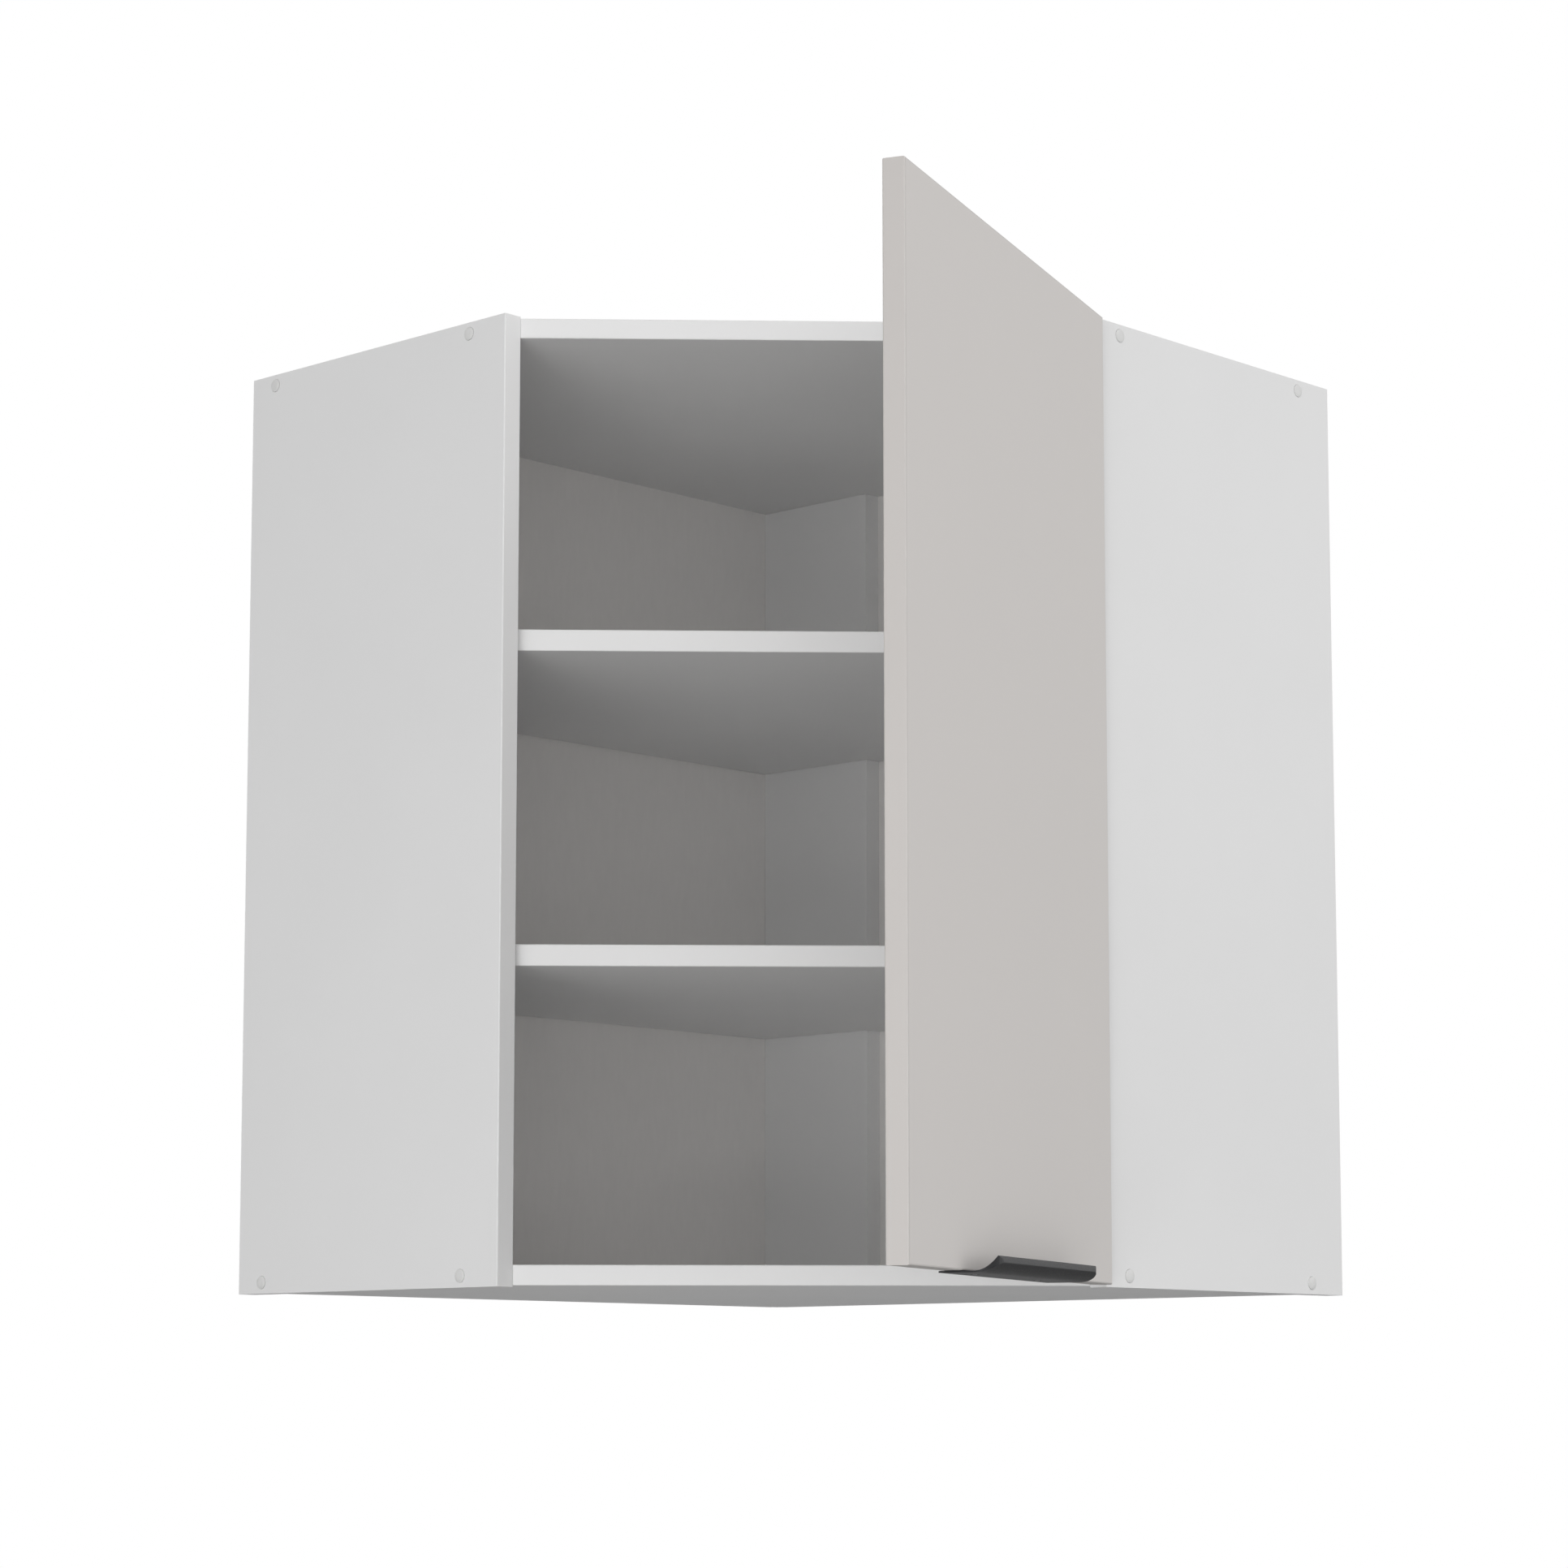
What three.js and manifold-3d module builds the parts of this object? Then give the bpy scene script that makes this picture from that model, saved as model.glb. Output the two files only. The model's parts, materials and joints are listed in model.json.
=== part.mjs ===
// Corner wall cabinet with a diagonal front and one hinged door, in millimetres, +Z up.
// The origin is the corner of the two walls it hangs on, at the level of its lower end.
// The left back lies along the wall x = 0 and the right back along the wall y = 0.
// Every paired piece is drawn for the left and reflected in the cabinet's plane of symmetry.
import * as THREE from 'three';
import { mergeVertices } from 'three/addons/utils/BufferGeometryUtils.js';
import Module from 'manifold-3d';

const wasm = await Module();
wasm.setup();

// Carcass
const wallLength = 600;          // wall corner to the outer face of each side panel
const sideDepth = 290;           // wall to the front edge of each side panel
const cabinetHeight = 716;
const board = 16;                // thickness of the sides, shelves and post
const panelBoard = 15;           // thickness of the top and bottom panels
const panelInset = 1;            // top and bottom panels inside the sides' ends
const arris = 1;                 // rounding of the edged front edges
const jointGap = 0.1;            // seam between boards that are fixed together
const backInset = 14;            // wall to the inner face of the back sheets
const backSheet = 3;
const backEnds = 1;              // back sheet short of the cabinet at top and bottom
const backCornerCut = 6;         // back sheet short of the panels' rear corner
const grooveDepth = 8;
const grooveClearance = 0.2;
const postWidth = 120;
const shelfCount = 2;
const shelfSetback = 9.5;        // shelf front behind the top panel's front
const shelfPlay = 1;             // shelf to the sides, backs and post

// Fixings of the carcass
const screwNearInset = 26.5;     // left side: from the rear edge; right side: from the front edge
const screwFarInset = 39.5;      // the same side's other screw, from its other edge
const screwLength = 50;
const screwHeadRadius = 4.75;
const screwHeadHeight = 0.8;
const screwHeadSunk = 1.6;
const screwShankRadius = 3.4;
const screwShankLength = 14;
const screwCoreRadius = 2.5;
const screwTipLength = 3;
const screwSocketRadius = 1.9;
const screwSocketDepth = 3;
const boreClearance = 0.2;
const capRadius = 5;
const capHeight = 1;
const capRim = 0.3;
const capStemLength = 2.6;
const capStemRadius = 1.6;

const pinRadius = 2.5;
const pinInsert = 8;
const pinHeadRadius = 3;
const pinHeadLength = 9;
const pinChamfer = 0.6;
const pinFrontInset = 37;        // front pin behind the front edge of a side panel
const pinRearInset = 29;         // rear pin in front of the wall
const postPinInset = 58;         // post's pin from the post's free edge

// Wall hangers
const hangerLength = 60;
const hangerHeight = 38;
const hangerThickness = 16;
const hangerCorner = 5;
const hangerBelowTop = 12;
const hangerBackPlay = 3;        // cut in the back sheet round a hanger
const hangerSocketRadius = 3.5;
const hangerSocketDepth = 6;
const hangerSocketSpacing = 20;
const hookPlate = 2;
const hookWidth = 9;
const hookWallGap = 1.5;         // hook to the wall
const hookLip = 13;
const hookInside = 26;
const hookClearance = 0.3;

// Door and handle
const doorMargin = 10.2;         // door's hinge and free edges short of the sides' outer corners
const doorEndGap = 1.5;          // door short of the carcass at its lower and upper ends
const doorThickness = 16;
const doorArris = 1.2;
const doorStandoff = 4;          // closed door in front of the line through the sides' outer corners
const doorOpening = 66;          // degrees the door stands open
const seatGap = 0.3;             // between pieces of the turned door
const handleLength = 221;
const handleCorner = 16;
const handlePlate = 1.2;
const handleRear = 0.5;          // plate behind the door's inner face
const handleFlat = 8.4;          // plate's flat stretch in front of the door
const handleReach = 23.7;        // nose in front of the door
const handleTipBack = 2.1;
const handleTipRise = 9.8;       // tip above the plate's upper face
const handleBendReach = 16.8;
const handleBendRise = 0.5;
const handleNoseRise = 6.4;      // nose above the plate's lower face
const handleNoseFall = 1.7;
const handleBellyReach = 17.5;
const handleBellyStart = 7;
const handleScrewSpacing = 128;
const handleScrewLength = 16;
const handleScrewRadius = 1.6;
const handleScrewHeadRadius = 3.2;
const handleScrewHeadRim = 0.3;

// Hinges
const hingeFromEnd = 100;        // hinge's middle to the door's end
const axisInset = 2.95;          // hinge axis to the door's hinge edge
const axisBehind = 0.61;         // hinge axis behind the door's inner face
const axleRadius = 1.6;
const axleHeadRadius = 2.6;
const axleHeadHeight = 0.9;
const eyeRadius = 3;
const knuckleHeight = 12;        // eye of the cup's tongue
const forkHeight = 7;            // each eye of the arm
const turningGap = 0.3;
const cupRadius = 17.5;
const cupDepth = 12;
const cupWall = 1.1;
const cupInset = 23.5;           // cup's middle to the door's hinge edge
const flangePlate = 1.2;
const flangeWidth = 34;
const flangeHeight = 62;
const flangeCorner = 10;
const notchRun = 6.5;            // recess round the eyes, from the door's hinge edge
const armPlate = 1.6;
const armBend = 6;
const armInset = 10.6;           // arm's outer face to the side panel
const armLength = 58;            // behind the side panel's front edge
const armChannel = 18;           // clear height between the arm's two flanges
const wingPlate = 1.6;
const wingWidth = 22;
const wingHeight = 52;
const wingCorner = 6;
const wingSetback = 37;          // plate's middle behind the side panel's front edge
const padLength = 36;
const fixingRadius = 2;
const fixingLength = 11;
const fixingTip = 3;
const fixingHeadRadius = 3.6;
const fixingHeadHeight = 1.8;
const wingFixingSpacing = 36;
const flangeFixingSpacing = 48;

const roundSegments = 20;
const smallSegments = 12;
const capSegments = 16;
const cupSegments = 32;

// Places worked out from the sizes above
const diagonal = Math.SQRT1_2;
const innerFace = wallLength - board;
const frontLine = innerFace + sideDepth;      // x - y along the front of the top panel
const backOuter = backInset - backSheet;
const bottomLevel = panelInset + panelBoard;
const topLevel = cabinetHeight - bottomLevel;
const shelfPitch = topLevel / (shelfCount + 1);
const frontAngle = -0.75 * Math.PI;           // from the closed door's hinge edge to its free edge
const doorWidth = Math.SQRT2 * (wallLength - sideDepth) - 2 * doorMargin;
const doorHeight = cabinetHeight - 2 * doorEndGap;
const hingeAxis = [
  wallLength - diagonal * (doorMargin + axisInset - doorStandoff + axisBehind),
  -sideDepth - diagonal * (doorMargin + axisInset + doorStandoff - axisBehind),
];
const hingeLevels = { lower: hingeFromEnd, upper: doorHeight - hingeFromEnd };

const finishes = {
  carcass: new THREE.MeshStandardMaterial({ color: 0xe4e3e2, roughness: 0.55, metalness: 0 }),
  sheet: new THREE.MeshStandardMaterial({ color: 0xe0dfdd, roughness: 0.65, metalness: 0 }),
  front: new THREE.MeshStandardMaterial({ color: 0xc8c3c0, roughness: 0.6, metalness: 0 }),
  handle: new THREE.MeshStandardMaterial({ color: 0x2e2e2f, roughness: 0.5, metalness: 0.4 }),
  cap: new THREE.MeshStandardMaterial({ color: 0xe9e8e6, roughness: 0.4, metalness: 0 }),
  steel: new THREE.MeshStandardMaterial({ color: 0xb9bbbd, roughness: 0.35, metalness: 0.9 }),
  nickel: new THREE.MeshStandardMaterial({ color: 0xb4b2ad, roughness: 0.3, metalness: 0.95 }),
  hanger: new THREE.MeshStandardMaterial({ color: 0xdedddb, roughness: 0.5, metalness: 0 }),
};

const cabinet = new THREE.Group();

// ---- Solids

function toSolid(geometry) {
  const bare = new THREE.BufferGeometry();
  bare.setAttribute('position', geometry.getAttribute('position'));
  bare.setIndex(geometry.getIndex());
  const welded = mergeVertices(bare, 1e-4);
  const corners = welded.getIndex().array;
  const triangles = [];
  for (let i = 0; i < corners.length; i += 3) {
    const [a, b, c] = corners.slice(i, i + 3);
    if (a !== b && b !== c && c !== a) triangles.push(a, b, c);
  }
  return new wasm.Manifold(new wasm.Mesh({
    numProp: 3,
    vertProperties: new Float32Array(welded.getAttribute('position').array),
    triVerts: new Uint32Array(triangles),
  }));
}

function toGeometry(solid) {
  const mesh = solid.getMesh();
  const geometry = new THREE.BufferGeometry();
  geometry.setAttribute('position', new THREE.BufferAttribute(mesh.vertProperties, 3));
  geometry.setIndex(new THREE.BufferAttribute(mesh.triVerts, 1));
  geometry.computeVertexNormals();
  return geometry;
}

function cut(geometry, cutters) {
  return toGeometry(cutters.reduce(
    (solid, cutter) => solid.subtract(toSolid(cutter)), toSolid(geometry)));
}

function common(first, second) {
  return toGeometry(toSolid(first).intersect(toSolid(second)));
}

function join(geometries) {
  return toGeometry(geometries.slice(1).reduce(
    (solid, geometry) => solid.add(toSolid(geometry)), toSolid(geometries[0])));
}

function block(low, high) {
  const size = high.map((value, i) => value - low[i]);
  const geometry = new THREE.BoxGeometry(...size);
  return geometry.translate(...size.map((value, i) => low[i] + value / 2));
}

function polygon(points) {
  return new THREE.Shape(points.map(([x, y]) => new THREE.Vector2(x, y)));
}

function prism(shape, depth, curveSegments = 8) {
  return new THREE.ExtrudeGeometry(shape, { depth, curveSegments, bevelEnabled: false });
}

// A profile of [radius, height] pairs that starts and ends on the axis, turned about +Y.
function turned(profile, segments = roundSegments) {
  return new THREE.LatheGeometry(profile.map(([r, h]) => new THREE.Vector2(r, h)), segments);
}

function rod(radius, from, to, segments = roundSegments) {
  return turned([[0, from], [radius, from], [radius, to], [0, to]], segments);
}

// Turns +Y to a direction and moves the start of the axis to a point.
function aimed(geometry, point, direction) {
  const turn = new THREE.Quaternion()
    .setFromUnitVectors(new THREE.Vector3(0, 1, 0), new THREE.Vector3(...direction));
  return geometry.clone().applyQuaternion(turn).translate(...point);
}

// Turns a thickness along +z to run towards -y from the level y, the shape standing in (x, z).
function stood(geometry, y) {
  const basis = new THREE.Matrix4().makeBasis(
    new THREE.Vector3(1, 0, 0), new THREE.Vector3(0, 0, 1), new THREE.Vector3(0, -1, 0));
  return geometry.applyMatrix4(basis).translate(0, y, 0);
}

function upright(shape, y, depth, curveSegments = 8) {
  return stood(prism(shape, depth, curveSegments), y);
}

// Reflection in the cabinet's plane of symmetry, which swaps the two walls.
function reflected(geometry) {
  const flipped = geometry.index ? geometry.toNonIndexed() : geometry.clone();
  const swap = new THREE.Matrix4().set(0, -1, 0, 0, -1, 0, 0, 0, 0, 0, 1, 0, 0, 0, 0, 1);
  flipped.applyMatrix4(swap);
  const position = flipped.getAttribute('position');
  const reversed = new Float32Array(position.array.length);
  for (let i = 0; i < position.count; i += 3) {
    for (let corner = 0; corner < 3; corner += 1) {
      const from = i + 2 - corner;
      reversed.set([position.getX(from), position.getY(from), position.getZ(from)], 3 * (i + corner));
    }
  }
  const geometryOut = new THREE.BufferGeometry();
  geometryOut.setAttribute('position', new THREE.BufferAttribute(reversed, 3));
  geometryOut.computeVertexNormals();
  return geometryOut;
}

function piece(name, geometry, finish, parent = cabinet) {
  const mesh = new THREE.Mesh(geometry, finishes[finish].clone());
  mesh.name = name;
  parent.add(mesh);
  return mesh;
}

function aimedPiece(name, geometry, finish, point, direction, parent = cabinet) {
  const mesh = piece(name, geometry, finish, parent);
  mesh.position.set(...point);
  mesh.quaternion.setFromUnitVectors(new THREE.Vector3(0, 1, 0), new THREE.Vector3(...direction));
  return mesh;
}

function roundedBox(width, height, radius) {
  const shape = new THREE.Shape();
  shape.moveTo(radius, 0);
  shape.lineTo(width - radius, 0);
  shape.absarc(width - radius, radius, radius, -Math.PI / 2, 0);
  shape.lineTo(width, height - radius);
  shape.absarc(width - radius, height - radius, radius, 0, Math.PI / 2);
  shape.lineTo(radius, height);
  shape.absarc(radius, height - radius, radius, Math.PI / 2, Math.PI);
  shape.lineTo(0, radius);
  shape.absarc(radius, radius, radius, Math.PI, 1.5 * Math.PI);
  return shape;
}

// ---- Confirmat screws, their caps and bores

// Heights along a screw are counted inwards from the outer face of the side panel.
const screwNeck = screwHeadSunk + screwHeadHeight + screwHeadRadius - screwShankRadius;

function screwBody() {
  return turned([
    [0, screwHeadSunk + screwSocketDepth],
    [screwSocketRadius, screwHeadSunk + screwSocketDepth],
    [screwSocketRadius, screwHeadSunk],
    [screwHeadRadius, screwHeadSunk],
    [screwHeadRadius, screwHeadSunk + screwHeadHeight],
    [screwShankRadius, screwNeck],
    [screwShankRadius, screwHeadSunk + screwShankLength],
    [screwCoreRadius, screwHeadSunk + screwShankLength],
    [screwCoreRadius, screwLength - screwTipLength],
    [0, screwLength],
  ], smallSegments);
}

function screwBore() {
  const wider = boreClearance / Math.cos(Math.PI / smallSegments);
  return turned([
    [0, -1],
    [capRadius + wider, -1],
    [capRadius + wider, screwHeadSunk + screwHeadHeight + boreClearance],
    [screwShankRadius + wider, screwNeck + boreClearance],
    [screwShankRadius + wider, screwHeadSunk + screwShankLength + boreClearance],
    [screwCoreRadius + wider, screwHeadSunk + screwShankLength + boreClearance],
    [screwCoreRadius + wider, screwLength + boreClearance],
    [0, screwLength + boreClearance],
  ], smallSegments);
}

function screwCap() {
  const dome = [0.45, 0.8].map((share) => [
    capRadius * share,
    -capRim - (capHeight - capRim) * Math.sqrt(1 - share * share),
  ]);
  return turned([
    [0, -capHeight],
    ...dome,
    [capRadius, -capRim],
    [capRadius, screwHeadSunk - boreClearance],
    [capStemRadius, screwHeadSunk - boreClearance],
    [capStemRadius, capStemLength],
    [0, capStemLength],
  ], capSegments);
}

// The left side has its nearest screw at the rear and the right side at the front.
const screwDepths = {
  left: [screwNearInset, sideDepth - screwFarInset],
  right: [sideDepth - screwNearInset, screwFarInset],
};
const screwLevels = { bottom: panelInset + panelBoard / 2, top: topLevel + panelBoard / 2 };

function screwPlaces() {
  return ['left', 'right'].flatMap((hand) => ['bottom', 'top'].flatMap((level) =>
    screwDepths[hand].map((depth) => {
      const left = hand === 'left';
      const rear = depth < sideDepth / 2;
      return {
        name: `${hand}_${level}_${rear ? 'rear' : 'front'}`,
        level,
        point: left ? [depth, -wallLength, screwLevels[level]] : [wallLength, -depth, screwLevels[level]],
        direction: left ? [0, 1, 0] : [-1, 0, 0],
      };
    })));
}

function carcassScrews() {
  for (const { name, point, direction } of screwPlaces()) {
    aimedPiece(`screw_${name}`, screwBody(), 'steel', point, direction);
    aimedPiece(`cap_${name}`, screwCap(), 'cap', point, direction);
  }
}

// ---- Shelf pins

function pinBody() {
  return turned([
    [0, -pinInsert],
    [pinRadius - pinChamfer, -pinInsert],
    [pinRadius, -pinInsert + pinChamfer],
    [pinRadius, 0],
    [pinHeadRadius, jointGap],
    [pinHeadRadius, pinHeadLength - pinChamfer],
    [pinHeadRadius - pinChamfer, pinHeadLength],
    [0, pinHeadLength],
  ], smallSegments);
}

function pinBore() {
  const wider = boreClearance / Math.cos(Math.PI / smallSegments);
  return rod(pinRadius + wider, -pinInsert - boreClearance, 1, smallSegments);
}

function pinHeadBore() {
  const wider = boreClearance / Math.cos(Math.PI / smallSegments);
  return rod(pinHeadRadius + wider, 0, pinHeadLength + boreClearance, smallSegments);
}

const pinDepths = { front: sideDepth - pinFrontInset, rear: pinRearInset };
const shelfLevels = Array.from({ length: shelfCount }, (_, i) => shelfPitch * (i + 1));
const shelfNames = shelfLevels.map((_, i) => (
  shelfCount === 2 ? ['lower', 'upper'][i] : `level_${i + 1}`));

function pinPlaces() {
  return shelfLevels.flatMap((level, i) => {
    const z = level - jointGap - pinHeadRadius;
    const sides = Object.entries(pinDepths).flatMap(([where, depth]) => [
      { name: `left_${where}`, seat: 'left', point: [depth, -innerFace, z], direction: [0, 1, 0] },
      { name: `right_${where}`, seat: 'right', point: [innerFace, -depth, z], direction: [-1, 0, 0] },
    ]);
    const postX = backInset + postWidth - postPinInset;
    const postFace = -backInset - board;
    const middle = level + board / 2;
    const post = { name: 'post', seat: 'post', point: [postX, postFace, middle], direction: [0, -1, 0] };
    return [...sides, post].map((pin) => ({ ...pin, shelf: shelfNames[i] }));
  });
}

function postPins() {
  return pinPlaces().filter((pin) => pin.seat === 'post');
}

function shelfPins() {
  for (const pin of pinPlaces()) {
    aimedPiece(`pin_${pin.shelf}_${pin.name}`, pinBody(), 'steel', pin.point, pin.direction);
  }
}

// ---- Boards

// Cross-section of a board whose far end carries rounded edging.
function edgedSection(length, thickness) {
  const shape = new THREE.Shape();
  shape.moveTo(0, 0);
  shape.lineTo(length - arris, 0);
  shape.absarc(length - arris, arris, arris, -Math.PI / 2, 0);
  shape.lineTo(length, thickness - arris);
  shape.absarc(length - arris, thickness - arris, arris, 0, Math.PI / 2);
  shape.lineTo(0, thickness);
  return shape;
}

// A level board of any outline, trimmed and edged along the cabinet's diagonal front.
function frontedBoard(outline, setback, thickness) {
  const length = 2 * wallLength;
  const forward = new THREE.Vector3(diagonal, -diagonal, 0);
  const up = new THREE.Vector3(0, 0, 1);
  const along = new THREE.Vector3().crossVectors(forward, up);
  const front = frontLine * diagonal - setback;
  const start = forward.clone().multiplyScalar(front - length).addScaledVector(along, -length / 2);
  const bar = prism(edgedSection(length, thickness), length, 4)
    .applyMatrix4(new THREE.Matrix4().makeBasis(forward, up, along).setPosition(start));
  return common(prism(polygon(outline), thickness), bar);
}

function panelOutline() {
  const rear = backInset + jointGap;
  const side = innerFace - jointGap;
  const front = sideDepth + board;
  return [[rear, -rear], [side, -rear], [side, -front], [front, -side], [rear, -side]];
}

function levelPanels() {
  const blank = frontedBoard(panelOutline(), 0, panelBoard);
  for (const [level, z] of [['bottom', panelInset], ['top', topLevel]]) {
    const bores = screwPlaces().filter((screw) => screw.level === level)
      .map((screw) => aimed(screwBore(), screw.point, screw.direction).translate(0, 0, -z));
    const panel = piece(`${level}_panel`, cut(blank, bores), 'carcass');
    panel.position.z = z;
  }
}

function shelves() {
  const rear = backInset + shelfPlay;
  const side = innerFace - shelfPlay;
  const postFace = backInset + board + shelfPlay;
  const postEnd = backInset + postWidth + shelfPlay;
  const outline = [
    [rear, -postFace], [postEnd, -postFace], [postEnd, -rear], [side, -rear],
    [side, -sideDepth], [sideDepth, -side], [rear, -side],
  ];
  const blank = frontedBoard(outline, shelfSetback, board);
  shelfLevels.forEach((level, i) => {
    const bores = postPins().filter((pin) => pin.shelf === shelfNames[i])
      .map((pin) => aimed(pinHeadBore(), pin.point, pin.direction).translate(0, 0, -level));
    const shelf = piece(`${shelfNames[i]}_shelf`, cut(blank, bores), 'carcass');
    shelf.position.z = level;
  });
}

function sidePanel(hand) {
  const blank = prism(edgedSection(sideDepth, board), cabinetHeight, 4);
  const groove = block(
    [backOuter - grooveClearance, board - grooveDepth - grooveClearance, -1],
    [backInset + grooveClearance, board + 1, cabinetHeight + 1]);
  const screwBores = screwDepths[hand].flatMap((depth) => Object.values(screwLevels)
    .map((z) => aimed(screwBore(), [depth, 0, z], [0, 1, 0])));
  const pinHoles = Object.values(pinDepths).flatMap((depth) => shelfLevels
    .map((level) => aimed(pinBore(), [depth, board, level - jointGap - pinHeadRadius], [0, 1, 0])));
  const hingeHoles = hand === 'left' ? [] : fixingLevels().map((z) => aimed(
    fixingBore(jointGap), [sideDepth - wingSetback, board + jointGap + wingPlate, z], [0, -1, 0]));
  return cut(blank, [groove, ...screwBores, ...pinHoles, ...hingeHoles]);
}

function sidePanels() {
  piece('left_side_panel', sidePanel('left'), 'carcass').position.y = -wallLength;
  piece('right_side_panel', reflected(sidePanel('right')), 'carcass').position.x = wallLength;
}

function cornerPost() {
  const blank = block(
    [backInset + jointGap, -backInset - board, bottomLevel + jointGap],
    [backInset + postWidth, -backInset - jointGap, topLevel - jointGap]);
  const bores = postPins().map((pin) => aimed(pinBore(), pin.point, pin.direction));
  piece('corner_post', cut(blank, bores), 'carcass');
}

function backSheets() {
  const hangerLow = topLevel - hangerBelowTop - hangerHeight;
  const sheet = block(
    [backOuter, -innerFace - grooveDepth, backEnds],
    [backInset, -backInset - backCornerCut, cabinetHeight - backEnds]);
  const window = block(
    [backOuter - 1, -wallLength, hangerLow - hangerBackPlay],
    [backInset + 1, -innerFace + hangerThickness + hangerBackPlay, cabinetHeight + 1]);
  const left = cut(sheet, [window]);
  piece('left_back_sheet', left, 'sheet');
  piece('right_back_sheet', reflected(left), 'sheet');
}

// ---- Wall hangers, one in each upper rear end of the cabinet

function hangers() {
  const rear = backOuter + jointGap;
  const low = topLevel - hangerBelowTop - hangerHeight;
  const face = -innerFace + jointGap;
  const slotLevel = low + hangerHeight / 2;
  const middle = face + hangerThickness / 2;
  const body = upright(roundedBox(hangerLength, hangerHeight, hangerCorner), 0, hangerThickness)
    .translate(rear, face + hangerThickness, low);
  const slot = block(
    [rear - 1, middle - hookWidth / 2 - hookClearance, slotLevel - hookPlate / 2 - hookClearance],
    [rear + hookInside + hookClearance, middle + hookWidth / 2 + hookClearance,
      slotLevel + hookPlate / 2 + hookClearance]);
  const sockets = [-0.5, 0.5].map((share) => aimed(
    rod(hangerSocketRadius, -hangerSocketDepth, 1, smallSegments),
    [rear + hangerLength, middle, slotLevel + share * hangerSocketSpacing], [1, 0, 0]));
  const housing = cut(body, [slot, ...sockets]);
  const hook = upright(polygon([
    [rear + hookInside, slotLevel - hookPlate / 2],
    [rear + hookInside, slotLevel + hookPlate / 2],
    [hookWallGap, slotLevel + hookPlate / 2],
    [hookWallGap, slotLevel + hookPlate / 2 - hookLip],
    [hookWallGap + hookPlate, slotLevel + hookPlate / 2 - hookLip],
    [hookWallGap + hookPlate, slotLevel - hookPlate / 2],
  ]), middle + hookWidth / 2, hookWidth);
  piece('left_hanger', housing, 'hanger');
  piece('right_hanger', reflected(housing), 'hanger');
  piece('left_hanger_hook', hook, 'steel');
  piece('right_hanger_hook', reflected(hook), 'steel');
}

// ---- Door and handle, drawn from the door's inner lower corner at its hinge edge:
// x runs to the free edge, y outwards through the door and z upwards.

function handleScrewBody() {
  const neck = handleScrewHeadRim + handleScrewHeadRadius - handleScrewRadius;
  return turned([
    [0, 0],
    [handleScrewHeadRadius, 0],
    [handleScrewHeadRadius, handleScrewHeadRim],
    [handleScrewRadius, neck],
    [handleScrewRadius, handleScrewLength - handleScrewRadius],
    [0, handleScrewLength],
  ], smallSegments);
}

function handleScrewBore() {
  const wider = seatGap / Math.cos(Math.PI / smallSegments);
  const neck = handleScrewHeadRim + handleScrewHeadRadius - handleScrewRadius;
  return turned([
    [0, -1],
    [handleScrewHeadRadius + wider, -1],
    [handleScrewHeadRadius + wider, handleScrewHeadRim + seatGap],
    [handleScrewRadius + wider, neck + seatGap],
    [handleScrewRadius + wider, handleScrewLength + seatGap],
    [0, handleScrewLength + seatGap],
  ], smallSegments);
}

function handleScrewPlaces() {
  return [-0.5, 0.5].map((share) => [
    doorWidth / 2 + share * handleScrewSpacing, doorThickness / 2, -seatGap - handlePlate]);
}

function handleScrewBores() {
  return handleScrewPlaces().map((point) => aimed(handleScrewBore(), point, [0, 0, 1]));
}

function handleProfile() {
  const top = -seatGap;
  const low = top - handlePlate;
  const nose = doorThickness + handleReach;
  const tip = [nose - handleTipBack, top + handleTipRise];
  const shape = new THREE.Shape();
  shape.moveTo(-handleRear, low);
  shape.lineTo(doorThickness + handleBellyStart, low);
  shape.quadraticCurveTo(doorThickness + handleBellyReach, low + seatGap, nose, low + handleNoseRise);
  shape.quadraticCurveTo(nose, tip[1] - handleNoseFall, ...tip);
  shape.quadraticCurveTo(
    doorThickness + handleBendReach, top + handleBendRise, doorThickness + handleFlat, top);
  shape.lineTo(-handleRear, top);
  return shape;
}

function handlePlan() {
  const depth = handleRear + doorThickness + handleReach;
  const shape = new THREE.Shape();
  shape.moveTo(0, 0);
  shape.lineTo(handleLength, 0);
  shape.lineTo(handleLength, depth - handleCorner);
  shape.absarc(handleLength - handleCorner, depth - handleCorner, handleCorner, 0, Math.PI / 2);
  shape.lineTo(handleCorner, depth);
  shape.absarc(handleCorner, depth - handleCorner, handleCorner, Math.PI / 2, Math.PI);
  return shape;
}

function handleBlank() {
  const alongDoor = new THREE.Matrix4().makeBasis(
    new THREE.Vector3(0, 1, 0), new THREE.Vector3(0, 0, 1), new THREE.Vector3(1, 0, 0));
  const start = (doorWidth - handleLength) / 2;
  const bar = prism(handleProfile(), handleLength, 10).applyMatrix4(alongDoor).translate(start, 0, 0);
  const height = 2 * handleTipRise;
  const plan = prism(handlePlan(), 2 * height, 14).translate(start, -handleRear, -height);
  return common(bar, plan);
}

function doorBlank() {
  const face = polygon([[0, 0], [doorWidth, 0], [doorWidth, doorHeight], [0, doorHeight]]);
  const blank = new THREE.ExtrudeGeometry(face, {
    depth: doorThickness - 2 * doorArris,
    bevelEnabled: true,
    bevelThickness: doorArris,
    bevelSize: doorArris,
    bevelOffset: -doorArris,
    bevelSegments: 3,
  }).translate(0, 0, doorArris);
  return stood(blank, doorThickness);
}

// ---- Hinges

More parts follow.
